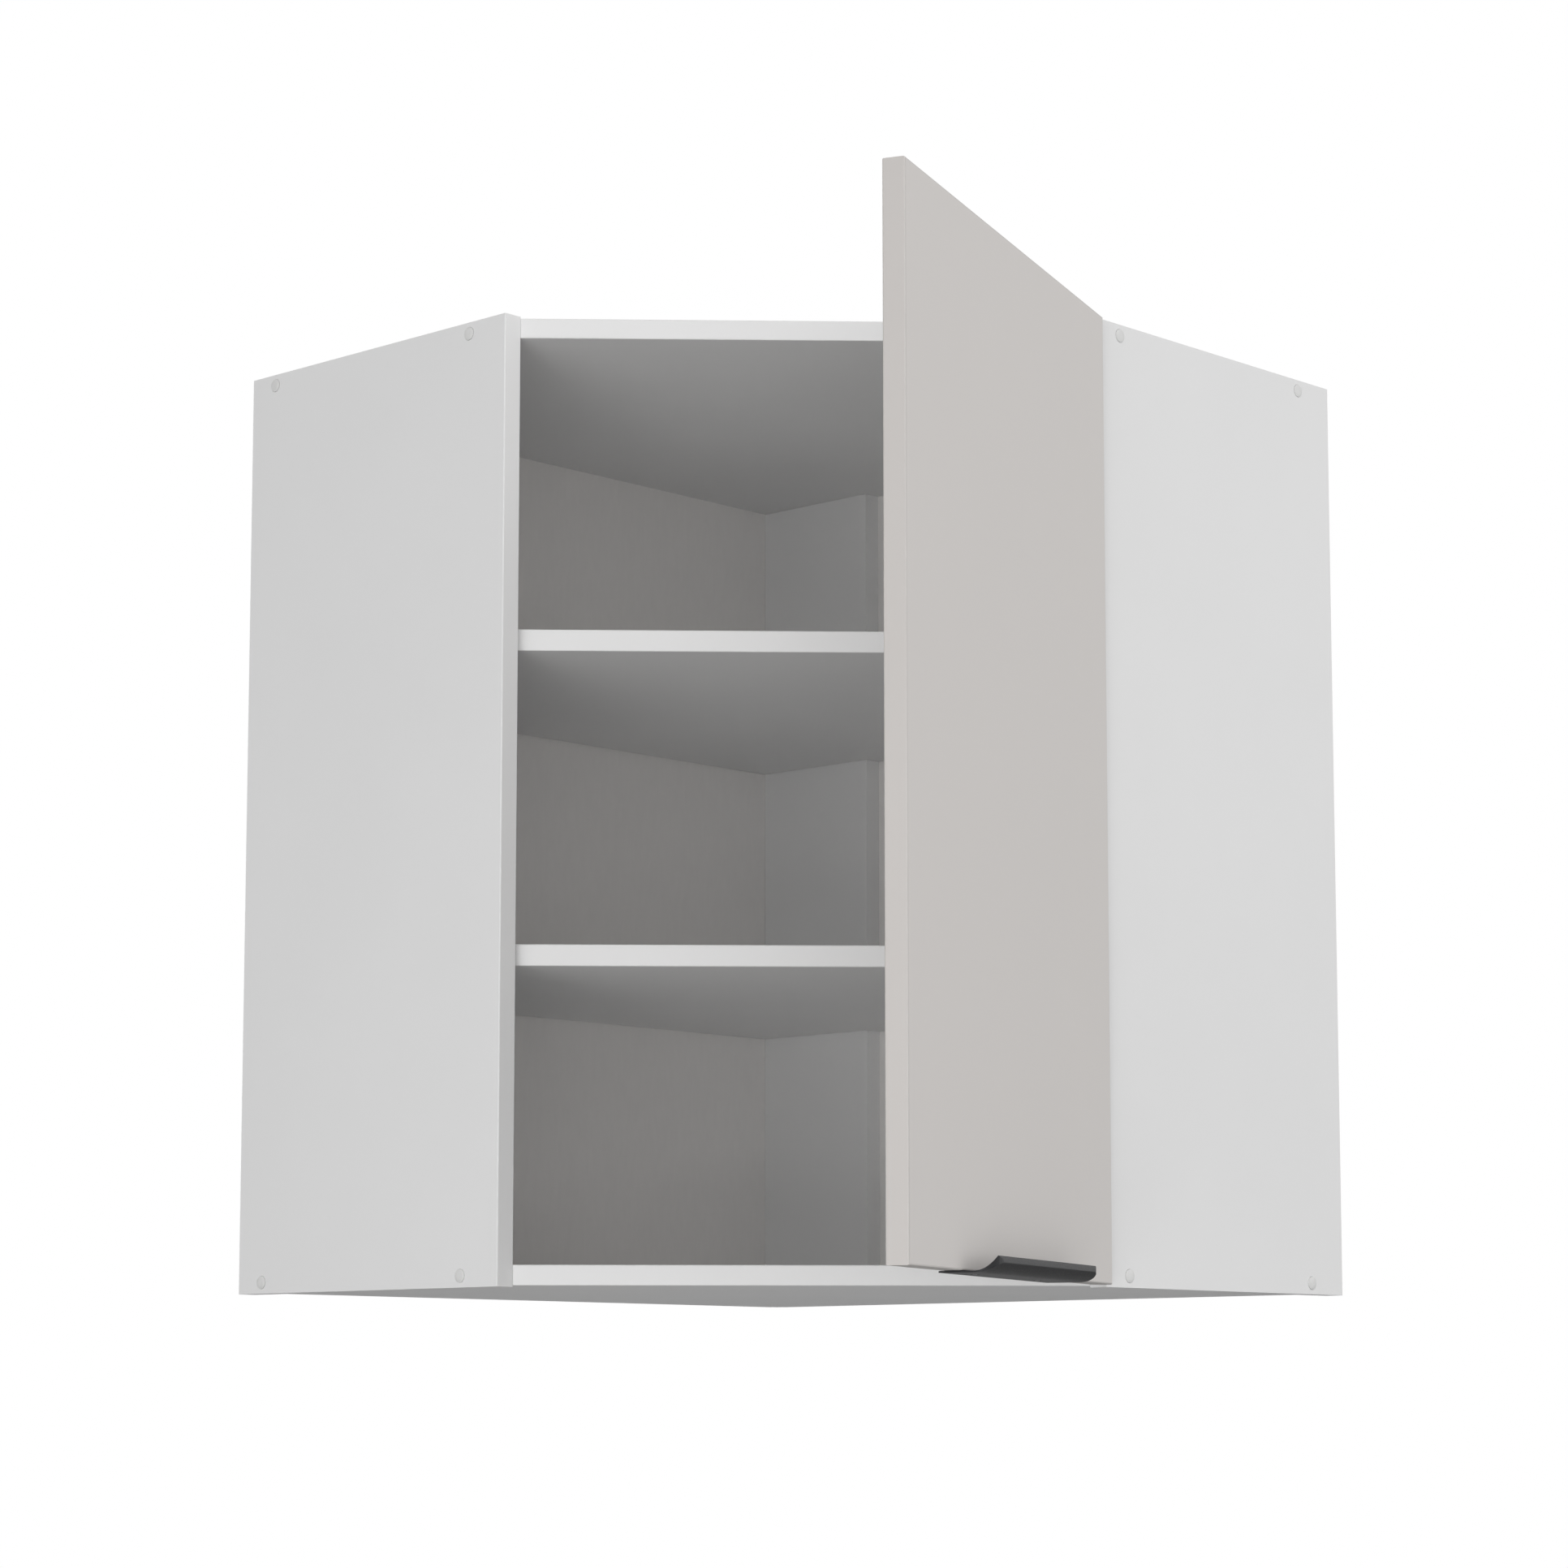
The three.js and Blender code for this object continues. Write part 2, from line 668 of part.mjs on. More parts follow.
function fixingScrew(gap) {
  return turned([
    [0, -gap - fixingHeadHeight],
    [fixingHeadRadius * diagonal, -gap - fixingHeadHeight],
    [fixingHeadRadius, -gap - fixingHeadHeight / 2],
    [fixingHeadRadius, -gap],
    [fixingRadius, -gap],
    [fixingRadius, fixingLength - fixingTip],
    [0, fixingLength],
  ], smallSegments);
}

function fixingBore(gap) {
  const wider = gap / Math.cos(Math.PI / smallSegments);
  return rod(fixingRadius + wider, -1, fixingLength + gap, smallSegments);
}

function fixingLevels() {
  return Object.values(hingeLevels).flatMap((level) => [-0.5, 0.5]
    .map((share) => doorEndGap + level + share * wingFixingSpacing));
}

const axleHalf = knuckleHeight / 2 + forkHeight + 2 * turningGap;

function cupFixingPlaces(level) {
  return [-0.5, 0.5].map((share) => [
    cupInset, -seatGap - flangePlate, level + share * flangeFixingSpacing]);
}

// Everything a hinge removes from the door.
function hingeSeats(level) {
  const seat = aimed(
    rod(cupRadius + seatGap, -1, cupDepth + seatGap, cupSegments),
    [cupInset, 0, level], [0, 1, 0]);
  const reach = axleHalf + axleHeadHeight + turningGap;
  const notch = block([-1, -1, level - reach], [notchRun, eyeRadius - axisBehind + seatGap, level + reach]);
  const bores = cupFixingPlaces(level).map((point) => aimed(fixingBore(seatGap), point, [0, 1, 0]));
  return [seat, notch, ...bores];
}

function hingeCup(level) {
  const rear = -seatGap - flangePlate;
  const flange = upright(roundedBox(flangeWidth, flangeHeight, flangeCorner), -seatGap, flangePlate)
    .translate(cupInset - flangeWidth / 2, 0, level - flangeHeight / 2);
  const drum = aimed(rod(cupRadius, rear, cupDepth, cupSegments), [cupInset, 0, level], [0, 1, 0]);
  const tongue = block(
    [axisInset, rear, level - knuckleHeight / 2],
    [cupInset - cupRadius / 2, -seatGap, level + knuckleHeight / 2]);
  const axis = [axisInset, -axisBehind, level];
  const knuckle = aimed(rod(eyeRadius, -knuckleHeight / 2, knuckleHeight / 2), axis, [0, 0, 1]);
  const hollow = aimed(
    rod(cupRadius - cupWall, rear - 1, cupDepth - cupWall, cupSegments),
    [cupInset, 0, level], [0, 1, 0]);
  const bore = aimed(rod(axleRadius + turningGap, -knuckleHeight, knuckleHeight), axis, [0, 0, 1]);
  const bores = cupFixingPlaces(level).map((point) => aimed(fixingBore(seatGap), point, [0, 1, 0]));
  return cut(join([flange, drum, tongue, knuckle]), [hollow, bore, ...bores]);
}

// Plan of the arm's strip: forwards beside the side panel, then round its front to the axis.
function armStrip() {
  const outer = innerFace - armInset;
  const front = hingeAxis[1] - armPlate / 2;
  const rear = -sideDepth + armLength;
  const bend = [outer + armBend, front + armBend];
  const shape = new THREE.Shape();
  shape.moveTo(outer + armPlate, rear);
  shape.lineTo(outer, rear);
  shape.lineTo(outer, bend[1]);
  shape.absarc(...bend, armBend, Math.PI, 1.5 * Math.PI);
  shape.lineTo(hingeAxis[0], front);
  shape.lineTo(hingeAxis[0], front + armPlate);
  shape.lineTo(bend[0], front + armPlate);
  shape.absarc(...bend, armBend - armPlate, 1.5 * Math.PI, Math.PI, true);
  return shape;
}

function hingeArm() {
  const [x, y] = hingeAxis;
  const outer = innerFace - armInset;
  const flangeTip = innerFace - jointGap - wingPlate - turningGap;
  const channelHalf = armChannel / 2 + armPlate;
  const forkHalf = knuckleHeight / 2 + turningGap + forkHeight;
  const web = prism(armStrip(), 2 * channelHalf).translate(0, 0, -channelHalf);
  const fork = common(
    prism(armStrip(), 2 * forkHalf).translate(0, 0, -forkHalf),
    block([0, y - armBend, -forkHalf], [wallLength, y + 2 * armBend, forkHalf]));
  const flanges = [-channelHalf, channelHalf - armPlate].map((z) => block(
    [outer, -sideDepth, z], [flangeTip, -sideDepth + armLength, z + armPlate]));
  const eyes = rod(eyeRadius, -forkHalf, forkHalf);
  const window = block(
    [x - eyeRadius - 1, y - eyeRadius - 1, -knuckleHeight / 2 - turningGap],
    [x + eyeRadius + 1, y + eyeRadius + 1, knuckleHeight / 2 + turningGap]);
  const bore = rod(axleRadius + turningGap, -2 * forkHalf, 2 * forkHalf);
  return cut(
    join([web, fork, ...flanges, aimed(eyes, [x, y, 0], [0, 0, 1])]),
    [window, aimed(bore, [x, y, 0], [0, 0, 1])]);
}

function hingePlate() {
  const face = innerFace - jointGap;
  const middle = -sideDepth + wingSetback;
  const half = armChannel / 2 - turningGap;
  const sideways = new THREE.Matrix4().makeBasis(
    new THREE.Vector3(0, 1, 0), new THREE.Vector3(0, 0, 1), new THREE.Vector3(1, 0, 0));
  const wings = prism(roundedBox(wingWidth, wingHeight, wingCorner), wingPlate).applyMatrix4(sideways)
    .translate(face - wingPlate, middle - wingWidth / 2, -wingHeight / 2);
  const pad = block(
    [innerFace - armInset + armPlate + turningGap, middle - padLength / 2, -half],
    [face, middle + padLength / 2, half]);
  const bores = [-0.5, 0.5].map((share) => aimed(
    fixingBore(jointGap), [face - wingPlate, middle, share * wingFixingSpacing], [1, 0, 0]));
  return cut(join([wings, pad]), bores);
}

function hingeAxle() {
  const shank = axleHalf;
  const head = shank + axleHeadHeight;
  return turned([
    [0, -head],
    [axleHeadRadius, -head],
    [axleHeadRadius, -shank],
    [axleRadius, -shank],
    [axleRadius, shank],
    [axleHeadRadius, shank],
    [axleHeadRadius, head],
    [0, head],
  ], smallSegments);
}

function hingedDoor() {
  const swing = new THREE.Group();
  swing.position.set(...hingeAxis, doorEndGap);
  swing.rotation.z = frontAngle + THREE.MathUtils.degToRad(doorOpening);
  const leaf = new THREE.Group();
  leaf.position.set(-axisInset, axisBehind, 0);
  swing.add(leaf);
  cabinet.add(swing);

  const seats = Object.values(hingeLevels).flatMap(hingeSeats);
  piece('door', cut(doorBlank(), [...handleScrewBores(), ...seats]), 'front', leaf);
  piece('door_handle', cut(handleBlank(), handleScrewBores()), 'handle', leaf);
  handleScrewPlaces().forEach((point, i) => {
    aimedPiece(`handle_screw_${i + 1}`, handleScrewBody(), 'steel', point, [0, 0, 1], leaf);
  });
  for (const [name, level] of Object.entries(hingeLevels)) {
    piece(`${name}_hinge_cup`, hingeCup(level), 'nickel', leaf);
    cupFixingPlaces(level).forEach((point, i) => {
      aimedPiece(`${name}_cup_screw_${i + 1}`, fixingScrew(seatGap), 'steel', point, [0, 1, 0], leaf);
    });
  }
}

function fixedHinges() {
  const face = innerFace - jointGap - wingPlate;
  for (const [name, level] of Object.entries(hingeLevels)) {
    const z = doorEndGap + level;
    piece(`${name}_hinge_arm`, hingeArm(), 'nickel').position.z = z;
    piece(`${name}_hinge_plate`, hingePlate(), 'nickel').position.z = z;
    aimedPiece(`${name}_hinge_axle`, hingeAxle(), 'steel', [...hingeAxis, z], [0, 0, 1]);
    [-0.5, 0.5].forEach((share, i) => {
      const point = [face, -sideDepth + wingSetback, z + share * wingFixingSpacing];
      aimedPiece(`${name}_plate_screw_${i + 1}`, fixingScrew(jointGap), 'steel', point, [1, 0, 0]);
    });
  }
}

sidePanels();
levelPanels();
shelves();
backSheets();
cornerPost();
carcassScrews();
shelfPins();
hangers();
hingedDoor();
fixedHinges();

export default cabinet;
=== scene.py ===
import json
import logging
import math
from collections.abc import Callable, Iterable
from dataclasses import dataclass, field
from enum import Enum

import bmesh
import bpy
from mathutils import Matrix, Vector


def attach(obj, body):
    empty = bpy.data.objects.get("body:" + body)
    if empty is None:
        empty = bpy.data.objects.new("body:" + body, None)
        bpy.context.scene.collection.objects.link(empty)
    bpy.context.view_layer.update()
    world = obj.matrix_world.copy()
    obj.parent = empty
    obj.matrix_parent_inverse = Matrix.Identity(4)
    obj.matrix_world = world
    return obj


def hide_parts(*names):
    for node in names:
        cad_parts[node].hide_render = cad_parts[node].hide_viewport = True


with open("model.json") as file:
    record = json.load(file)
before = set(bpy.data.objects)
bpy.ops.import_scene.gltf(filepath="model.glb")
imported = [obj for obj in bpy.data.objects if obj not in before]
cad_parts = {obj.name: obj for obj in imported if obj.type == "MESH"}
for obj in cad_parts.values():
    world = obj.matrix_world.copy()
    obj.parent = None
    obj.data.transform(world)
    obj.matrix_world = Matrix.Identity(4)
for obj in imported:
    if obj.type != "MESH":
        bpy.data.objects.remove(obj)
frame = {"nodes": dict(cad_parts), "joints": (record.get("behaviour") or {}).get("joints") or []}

log = logging.getLogger("corner_cabinet")

Colour = tuple[float, float, float]
Point = tuple[float, float, float]
Span = tuple[float, float]
Socket = bpy.types.NodeSocket
Material = bpy.types.Material

MM = 0.001
WHITE = (1.0, 1.0, 1.0, 1.0)

# Cosine above which a face looks straight at a wall.
SQUARE_ON = 0.99

# Angle in degrees between two faces, below which their edge is shaded smooth.
SMOOTH_BELOW = 32.0

# The part of a noise's output that holds nearly all its values.
NOISE_RANGE: Span = (0.3, 0.7)


class Body(Enum):
    """The two bodies that the cabinet's pieces ride on."""

    CARCASS = "carcass"
    DOOR = "door"


class Wall(Enum):
    """The two walls of the room corner, by the direction towards each."""

    LEFT = (-1, 0, 0)
    RIGHT = (0, 1, 0)

    def faced(self, normal: Vector) -> bool:
        """Tells whether a face with this normal looks straight at the wall."""
        return normal.dot(Vector(self.value)) > SQUARE_ON


def tone(red: float, green: float, blue: float) -> Colour:
    """Turns a colour written in 0 to 255 display values into linear light.

    Args:
        red: Display value of red.
        green: Display value of green.
        blue: Display value of blue.

    Returns:
        The linear colour, by the sRGB curve.
    """

    def linear(value: float) -> float:
        """Returns one channel in linear light."""
        share = value / 255
        return share / 12.92 if share <= 0.04045 else ((share + 0.055) / 1.055) ** 2.4

    return linear(red), linear(green), linear(blue)


@dataclass(frozen=True)
class Grain:
    """Noise of a real size.

    size is a feature's size in metres and octaves the number of finer layers. squeeze
    scales the coordinates: a value below 1 draws the noise out along that axis.
    """

    size: float
    octaves: float = 2.0
    squeeze: Point = (1, 1, 1)


class Sketch:
    """A material's node tree, drawn with short calls."""

    # Places of a colour Mix node's sockets.
    MIX_FACTOR = 0
    MIX_FIRST = 6
    MIX_SECOND = 7
    MIX_RESULT = 2

    def __init__(self, name: str) -> None:
        """Starts a material that holds only its shader and its output.

        Args:
            name: The material's name.
        """
        self.material = bpy.data.materials.new(name)
        self.material.use_nodes = True
        self.tree = self.material.node_tree
        self.shader = next(n for n in self.tree.nodes if n.type == "BSDF_PRINCIPLED")
        self.coordinates = self.node("ShaderNodeTexCoord").outputs["Object"]

    def node(self, kind: str, **settings: object) -> bpy.types.Node:
        """Adds a node.

        Args:
            kind: The node's type name.
            **settings: Attributes to set on it.

        Returns:
            The node.
        """
        made = self.tree.nodes.new(kind)
        for key, value in settings.items():
            setattr(made, key, value)
        return made

    def join(self, source: Socket, target: Socket) -> None:
        """Links two sockets."""
        self.tree.links.new(source, target)

    def stretched(self, scale: Point) -> Socket:
        """Scales the object's coordinates.

        Args:
            scale: Factor along each axis.

        Returns:
            The scaled coordinates.
        """
        mapping = self.node("ShaderNodeMapping")
        mapping.inputs["Scale"].default_value = scale
        self.join(self.coordinates, mapping.inputs["Vector"])
        return mapping.outputs["Vector"]

    def noise(self, grain: Grain) -> Socket:
        """Adds noise whose features have a real size.

        Args:
            grain: The noise's size, octaves and squeeze.

        Returns:
            The noise's factor, about 0.5 on average.
        """
        made = self.node("ShaderNodeTexNoise")
        made.inputs["Scale"].default_value = 1 / grain.size
        made.inputs["Detail"].default_value = grain.octaves
        self.join(self.stretched(grain.squeeze), made.inputs["Vector"])
        return made.outputs["Fac"]

    def spread(self, factor: Socket, low: float, high: float) -> Socket:
        """Maps a noise's range onto two values.

        Args:
            factor: The noise.
            low: Value at the dark end.
            high: Value at the bright end.

        Returns:
            The mapped value.
        """
        made = self.node("ShaderNodeMapRange", clamp=True)
        self.join(factor, made.inputs["Value"])
        made.inputs["From Min"].default_value = NOISE_RANGE[0]
        made.inputs["From Max"].default_value = NOISE_RANGE[1]
        made.inputs["To Min"].default_value = low
        made.inputs["To Max"].default_value = high
        return made.outputs["Result"]

    def tint(self, colour: Colour, factor: Socket, depth: float) -> Socket:
        """Varies a colour by a noise.

        Args:
            colour: The mean colour.
            factor: The noise.
            depth: Part of the brightness that comes and goes.

        Returns:
            The varied colour.
        """
        ramp = self.node("ShaderNodeValToRGB")
        ends = ramp.color_ramp.elements
        ends[0].position, ends[1].position = NOISE_RANGE
        ends[0].color = (*(c * (1 - depth) for c in colour), 1)
        ends[1].color = (*(c * (1 + depth) for c in colour), 1)
        self.join(factor, ramp.inputs["Fac"])
        return ramp.outputs["Color"]

    def blend(self, factor: Socket, first: Socket, second: Colour) -> Socket:
        """Mixes a colour output with a plain colour.

        Args:
            factor: Share of the plain colour.
            first: The colour output.
            second: The plain colour.

        Returns:
            The mixed colour.
        """
        mix = self.node("ShaderNodeMix", data_type="RGBA")
        self.join(factor, mix.inputs[self.MIX_FACTOR])
        self.join(first, mix.inputs[self.MIX_FIRST])
        mix.inputs[self.MIX_SECOND].default_value = (*second, 1)
        return mix.outputs[self.MIX_RESULT]

    def relief(self, factor: Socket, height: float, strength: float) -> None:
        """Sends a noise to the shader's normal as a relief.

        Args:
            factor: The noise.
            height: The relief's height in metres.
            strength: How much of it shows.
        """
        bump = self.node("ShaderNodeBump")
        bump.inputs["Strength"].default_value = strength
        bump.inputs["Distance"].default_value = height
        self.join(factor, bump.inputs["Height"])
        self.join(bump.outputs["Normal"], self.shader.inputs["Normal"])

    def set(self, **values: float | tuple[float, ...]) -> None:
        """Sets plain values on the shader: underscores in a name stand for spaces."""
        for key, value in values.items():
            self.shader.inputs[key.replace("_", " ")].default_value = value


class Layer(Enum):
    """The two noises of a finish."""

    MOTTLE = "mottle"
    TEXTURE = "texture"


@dataclass(frozen=True)
class Finish:
    """A surface whose colour follows its mottle and whose relief follows its texture.

    depth is the part of the brightness that the mottle takes and gives, height the
    relief's height in metres and strength how much of it shows. The roughness runs
    over its span with the layer that gloss names.
    """

    name: str
    colour: Colour
    mottle: Grain
    depth: float
    texture: Grain
    height: float
    strength: float
    roughness: Span
    gloss: Layer = Layer.TEXTURE
    specular: float = 0.5
    metallic: float = 0.0

    def painted(self, sketch: Sketch, layers: dict[Layer, Socket]) -> Socket:
        """Returns the mottled colour."""
        return sketch.tint(self.colour, layers[Layer.MOTTLE], self.depth)

    def material(self) -> Material:
        """Draws the finish.

        Returns:
            The material.
        """
        sketch = Sketch(self.name)
        layers = {
            Layer.MOTTLE: sketch.noise(self.mottle),
            Layer.TEXTURE: sketch.noise(self.texture),
        }
        rough = sketch.spread(layers[self.gloss], *self.roughness)
        sketch.join(self.painted(sketch, layers), sketch.shader.inputs["Base Color"])
        sketch.join(rough, sketch.shader.inputs["Roughness"])
        sketch.relief(layers[Layer.TEXTURE], self.height, self.strength)
        sketch.set(Specular_IOR_Level=self.specular, Metallic=self.metallic)
        return sketch.material


@dataclass(frozen=True)
class Melamine(Finish):
    """White coated chipboard with faint clouds and a fine pearl texture."""

    mottle: Grain = Grain(0.11)
    depth: float = 0.007
    texture: Grain = Grain(0.0007)
    height: float = 0.00002
    strength: float = 0.5
    roughness: Span = (0.45, 0.55)
    specular: float = 0.35


@dataclass(frozen=True)
class Hardboard(Finish):
    """Thin lacquered hardboard with long faint fibres."""

    mottle: Grain = Grain(0.004, 4.0, (1, 1, 0.25))
    depth: float = 0.012
    texture: Grain = Grain(0.0009)
    height: float = 0.00002
    strength: float = 0.4
    roughness: Span = (0.54, 0.66)
    gloss: Layer = Layer.MOTTLE
    specular: float = 0.3


@dataclass(frozen=True)
class RawBoard(Finish):
    """Bare pressed wood: chips in the edge of a board, or the fine felt of a sheet's rear face.

    The texture is the chips, which cover over with the dark colour by a share.
    """

    mottle: Grain = Grain(0.0192)
    depth: float = 0.06
    texture: Grain = Grain(0.0016, 4.0)
    height: float = 0.0001
    strength: float = 0.5
    roughness: Span = (0.77, 0.90)
    specular: float = 0.2
    dark: Colour = tone(140, 108, 74)
    cover: Span = (0.0, 0.75)

    def painted(self, sketch: Sketch, layers: dict[Layer, Socket]) -> Socket:
        """Mixes the dark colour of the chips into the mottled colour.

        Args:
            sketch: The material's tree.
            layers: The finish's two noises.

        Returns:
            The colour.
        """
        chips = sketch.spread(layers[Layer.TEXTURE], *self.cover)
        return sketch.blend(chips, super().painted(sketch, layers), self.dark)


@dataclass(frozen=True)
class SupermatteFront(Finish):
    """Velvety matte coating of the door, also in a darker copy on the door's edges as painted
    shade.
    """

    mottle: Grain = Grain(0.16)
    depth: float = 0.008
    texture: Grain = Grain(0.00045)
    height: float = 0.00001
    strength: float = 0.35
    roughness: Span = (0.60, 0.65)
    gloss: Layer = Layer.MOTTLE
    specular: float = 0.25


@dataclass(frozen=True)
class PowderCoat(Finish):
    """Powder coating on aluminium, with its fine orange peel and specks."""

    mottle: Grain = Grain(0.0003, 1.0)
    depth: float = 0.06
    texture: Grain = Grain(0.0011, 3.0)
    height: float = 0.00003
    strength: float = 0.5
    roughness: Span = (0.41, 0.52)
    specular: float = 0.28


@dataclass(frozen=True)
class PlatedSteel(Finish):
    """Zinc or nickel plating with faint rolling marks."""

    mottle: Grain = Grain(0.0012, 3.0, (1, 1, 0.12))
    depth: float = 0.05
    texture: Grain = Grain(0.0012, 3.0, (1, 1, 0.12))
    height: float = 0.00001
    strength: float = 0.4
    roughness: Span = (0.28, 0.42)
    metallic: float = 1.0


@dataclass(frozen=True)
class MouldedPlastic(Finish):
    """Plain moulded plastic with a faint spark-eroded texture."""

    mottle: Grain = Grain(0.02)
    depth: float = 0.012
    texture: Grain = Grain(0.0005)
    height: float = 0.00001
    strength: float = 0.4
    roughness: Span = (0.33, 0.43)
    specular: float = 0.45


BOARD = Melamine("white_melamine", tone(234, 234, 234))
SHEET = Hardboard("white_hardboard", tone(242, 240, 238))
CHIPBOARD = RawBoard("bare_chipboard_edge", tone(196, 170, 134))
FELT = RawBoard(
    "bare_hardboard_rear", tone(146, 108, 74),
    mottle=Grain(0.0096), texture=Grain(0.0008, 4.0), dark=tone(116, 82, 54),
)
FRONT = SupermatteFront("supermatte_grey_beige", tone(221, 217, 214))
# The door's edges get a darker copy of the front's colour: painted shade against the brighter
# light that they catch.
SHADED_FRONT = SupermatteFront("grey_beige_front_painted_shade", tone(205, 201, 198))
GRAPHITE = PowderCoat("graphite_powder_coat", tone(33, 33, 35))
CAP = MouldedPlastic("white_cap_plastic", tone(222, 222, 221))
HANGER = MouldedPlastic("white_hanger_plastic", tone(226, 225, 222), roughness=(0.37, 0.47))
ZINC = PlatedSteel("zinc_plated_steel", tone(196, 198, 200))
NICKEL = PlatedSteel("nickel_plated_steel", tone(200, 196, 190), roughness=(0.20, 0.34))


def add_object(name: str, data: bpy.types.ID) -> bpy.types.Object:
    """Adds an object to the scene.

    Args:
        name: The object's name.
        data: Its mesh, lamp or camera.

    Returns:
        The object.
    """
    made = bpy.data.objects.new(name, data)
    bpy.context.scene.collection.objects.link(made)
    return made


def settle(made: bpy.types.Object) -> None:
    """Turns what an object's modifiers make into its own plain mesh and drops the modifiers.

    Args:
        made: The object.
    """
    bpy.context.view_layer.update()
    evaluated = made.evaluated_get(bpy.context.evaluated_depsgraph_get())
    mesh = bpy.data.meshes.new_from_object(evaluated)
    made.modifiers.clear()
    made.data = mesh
    mesh.name = f"{made.name}_mesh"


def smooth(mesh: bpy.types.Mesh, below: float = SMOOTH_BELOW) -> None:
    """Shades a mesh's curves smooth and keeps its edges of more than an angle sharp."""
    mesh.shade_smooth()
    mesh.set_sharp_from_angle(angle=math.radians(below))


@dataclass
class Refined:
    """A copy of a CAD piece with its flat faces joined, its edges eased and its curves smooth.

    ease is the width of an eased edge in millimetres. Edges that bend less than
    smooth_below degrees are shaded smooth, and a levelled copy's shading follows its
    large faces. other_side tells by a face's normal whether the face takes the piece's
    second finish. merge is the distance in millimetres below which corners become one,
    faces that bend less than flat_within degrees are joined, and edges that bend more
    than eased_above degrees are eased in ease_steps steps.
    """

    node: str
    body: Body
    slot: str
    ease: float = 0.0
    smooth_below: float = SMOOTH_BELOW
    levelled: bool = True
    other_side: Callable[[Vector], bool] | None = None
    merge: float = 0.004
    flat_within: float = 0.6
    eased_above: float = 50.0
    ease_steps: int = 3
    face_weight: int = 80

    def eased(self, shape: bmesh.types.BMesh) -> None:
        """Rounds the sharp edges.

        Args:
            shape: The mesh to change.
        """
        sharp = [
            e for e in shape.edges
            if len(e.link_faces) == 2 and e.calc_face_angle(0.0) > math.radians(self.eased_above)
        ]
        bmesh.ops.bevel(
            shape, geom=sharp, offset=self.ease * MM, offset_type="OFFSET",
            segments=self.ease_steps, profile=0.5, affect="EDGES", clamp_overlap=True,
        )

    def mesh(self) -> bpy.types.Mesh:
        """Copies the CAD node's mesh, cleans it and eases it.

        Returns:
            The copy.
        """
        shape = bmesh.new()
        shape.from_mesh(frame["nodes"][self.node].data)
        bmesh.ops.remove_doubles(shape, verts=shape.verts, dist=self.merge * MM)
        bmesh.ops.dissolve_limit(
            shape, angle_limit=math.radians(self.flat_within), verts=shape.verts, edges=shape.edges
        )
        if self.ease:
            self.eased(shape)
        bmesh.ops.triangulate(shape, faces=[f for f in shape.faces if len(f.verts) > 4])
        made = bpy.data.meshes.new(f"{self.node}_finished")
        shape.to_mesh(made)
        shape.free()
        smooth(made, self.smooth_below)
        return made

    def build(self, finish: Material, second: Material | None = None) -> None:
        """Puts the finished copy in the scene in place of the CAD node.

        Args:
            finish: The material.
            second: The material of the faces that other_side picks.
        """
        made = add_object(f"{self.node}_finished", self.mesh())
        if self.levelled:
            level = made.modifiers.new("level_faces", "WEIGHTED_NORMAL")
            level.keep_sharp = True
            level.weight = self.face_weight
            settle(made)
        made.data.materials.clear()
        made.data.materials.append(finish)
        if second and self.other_side:
            made.data.materials.append(second)
            for face in made.data.polygons:
                face.material_index = int(self.other_side(face.normal))
        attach(made, self.body.value)
        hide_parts(self.node)


class Input(Enum):
    """The kinds of input that a geometry tree takes."""

    COUNT = "NodeSocketInt"
    VECTOR = "NodeSocketVector"


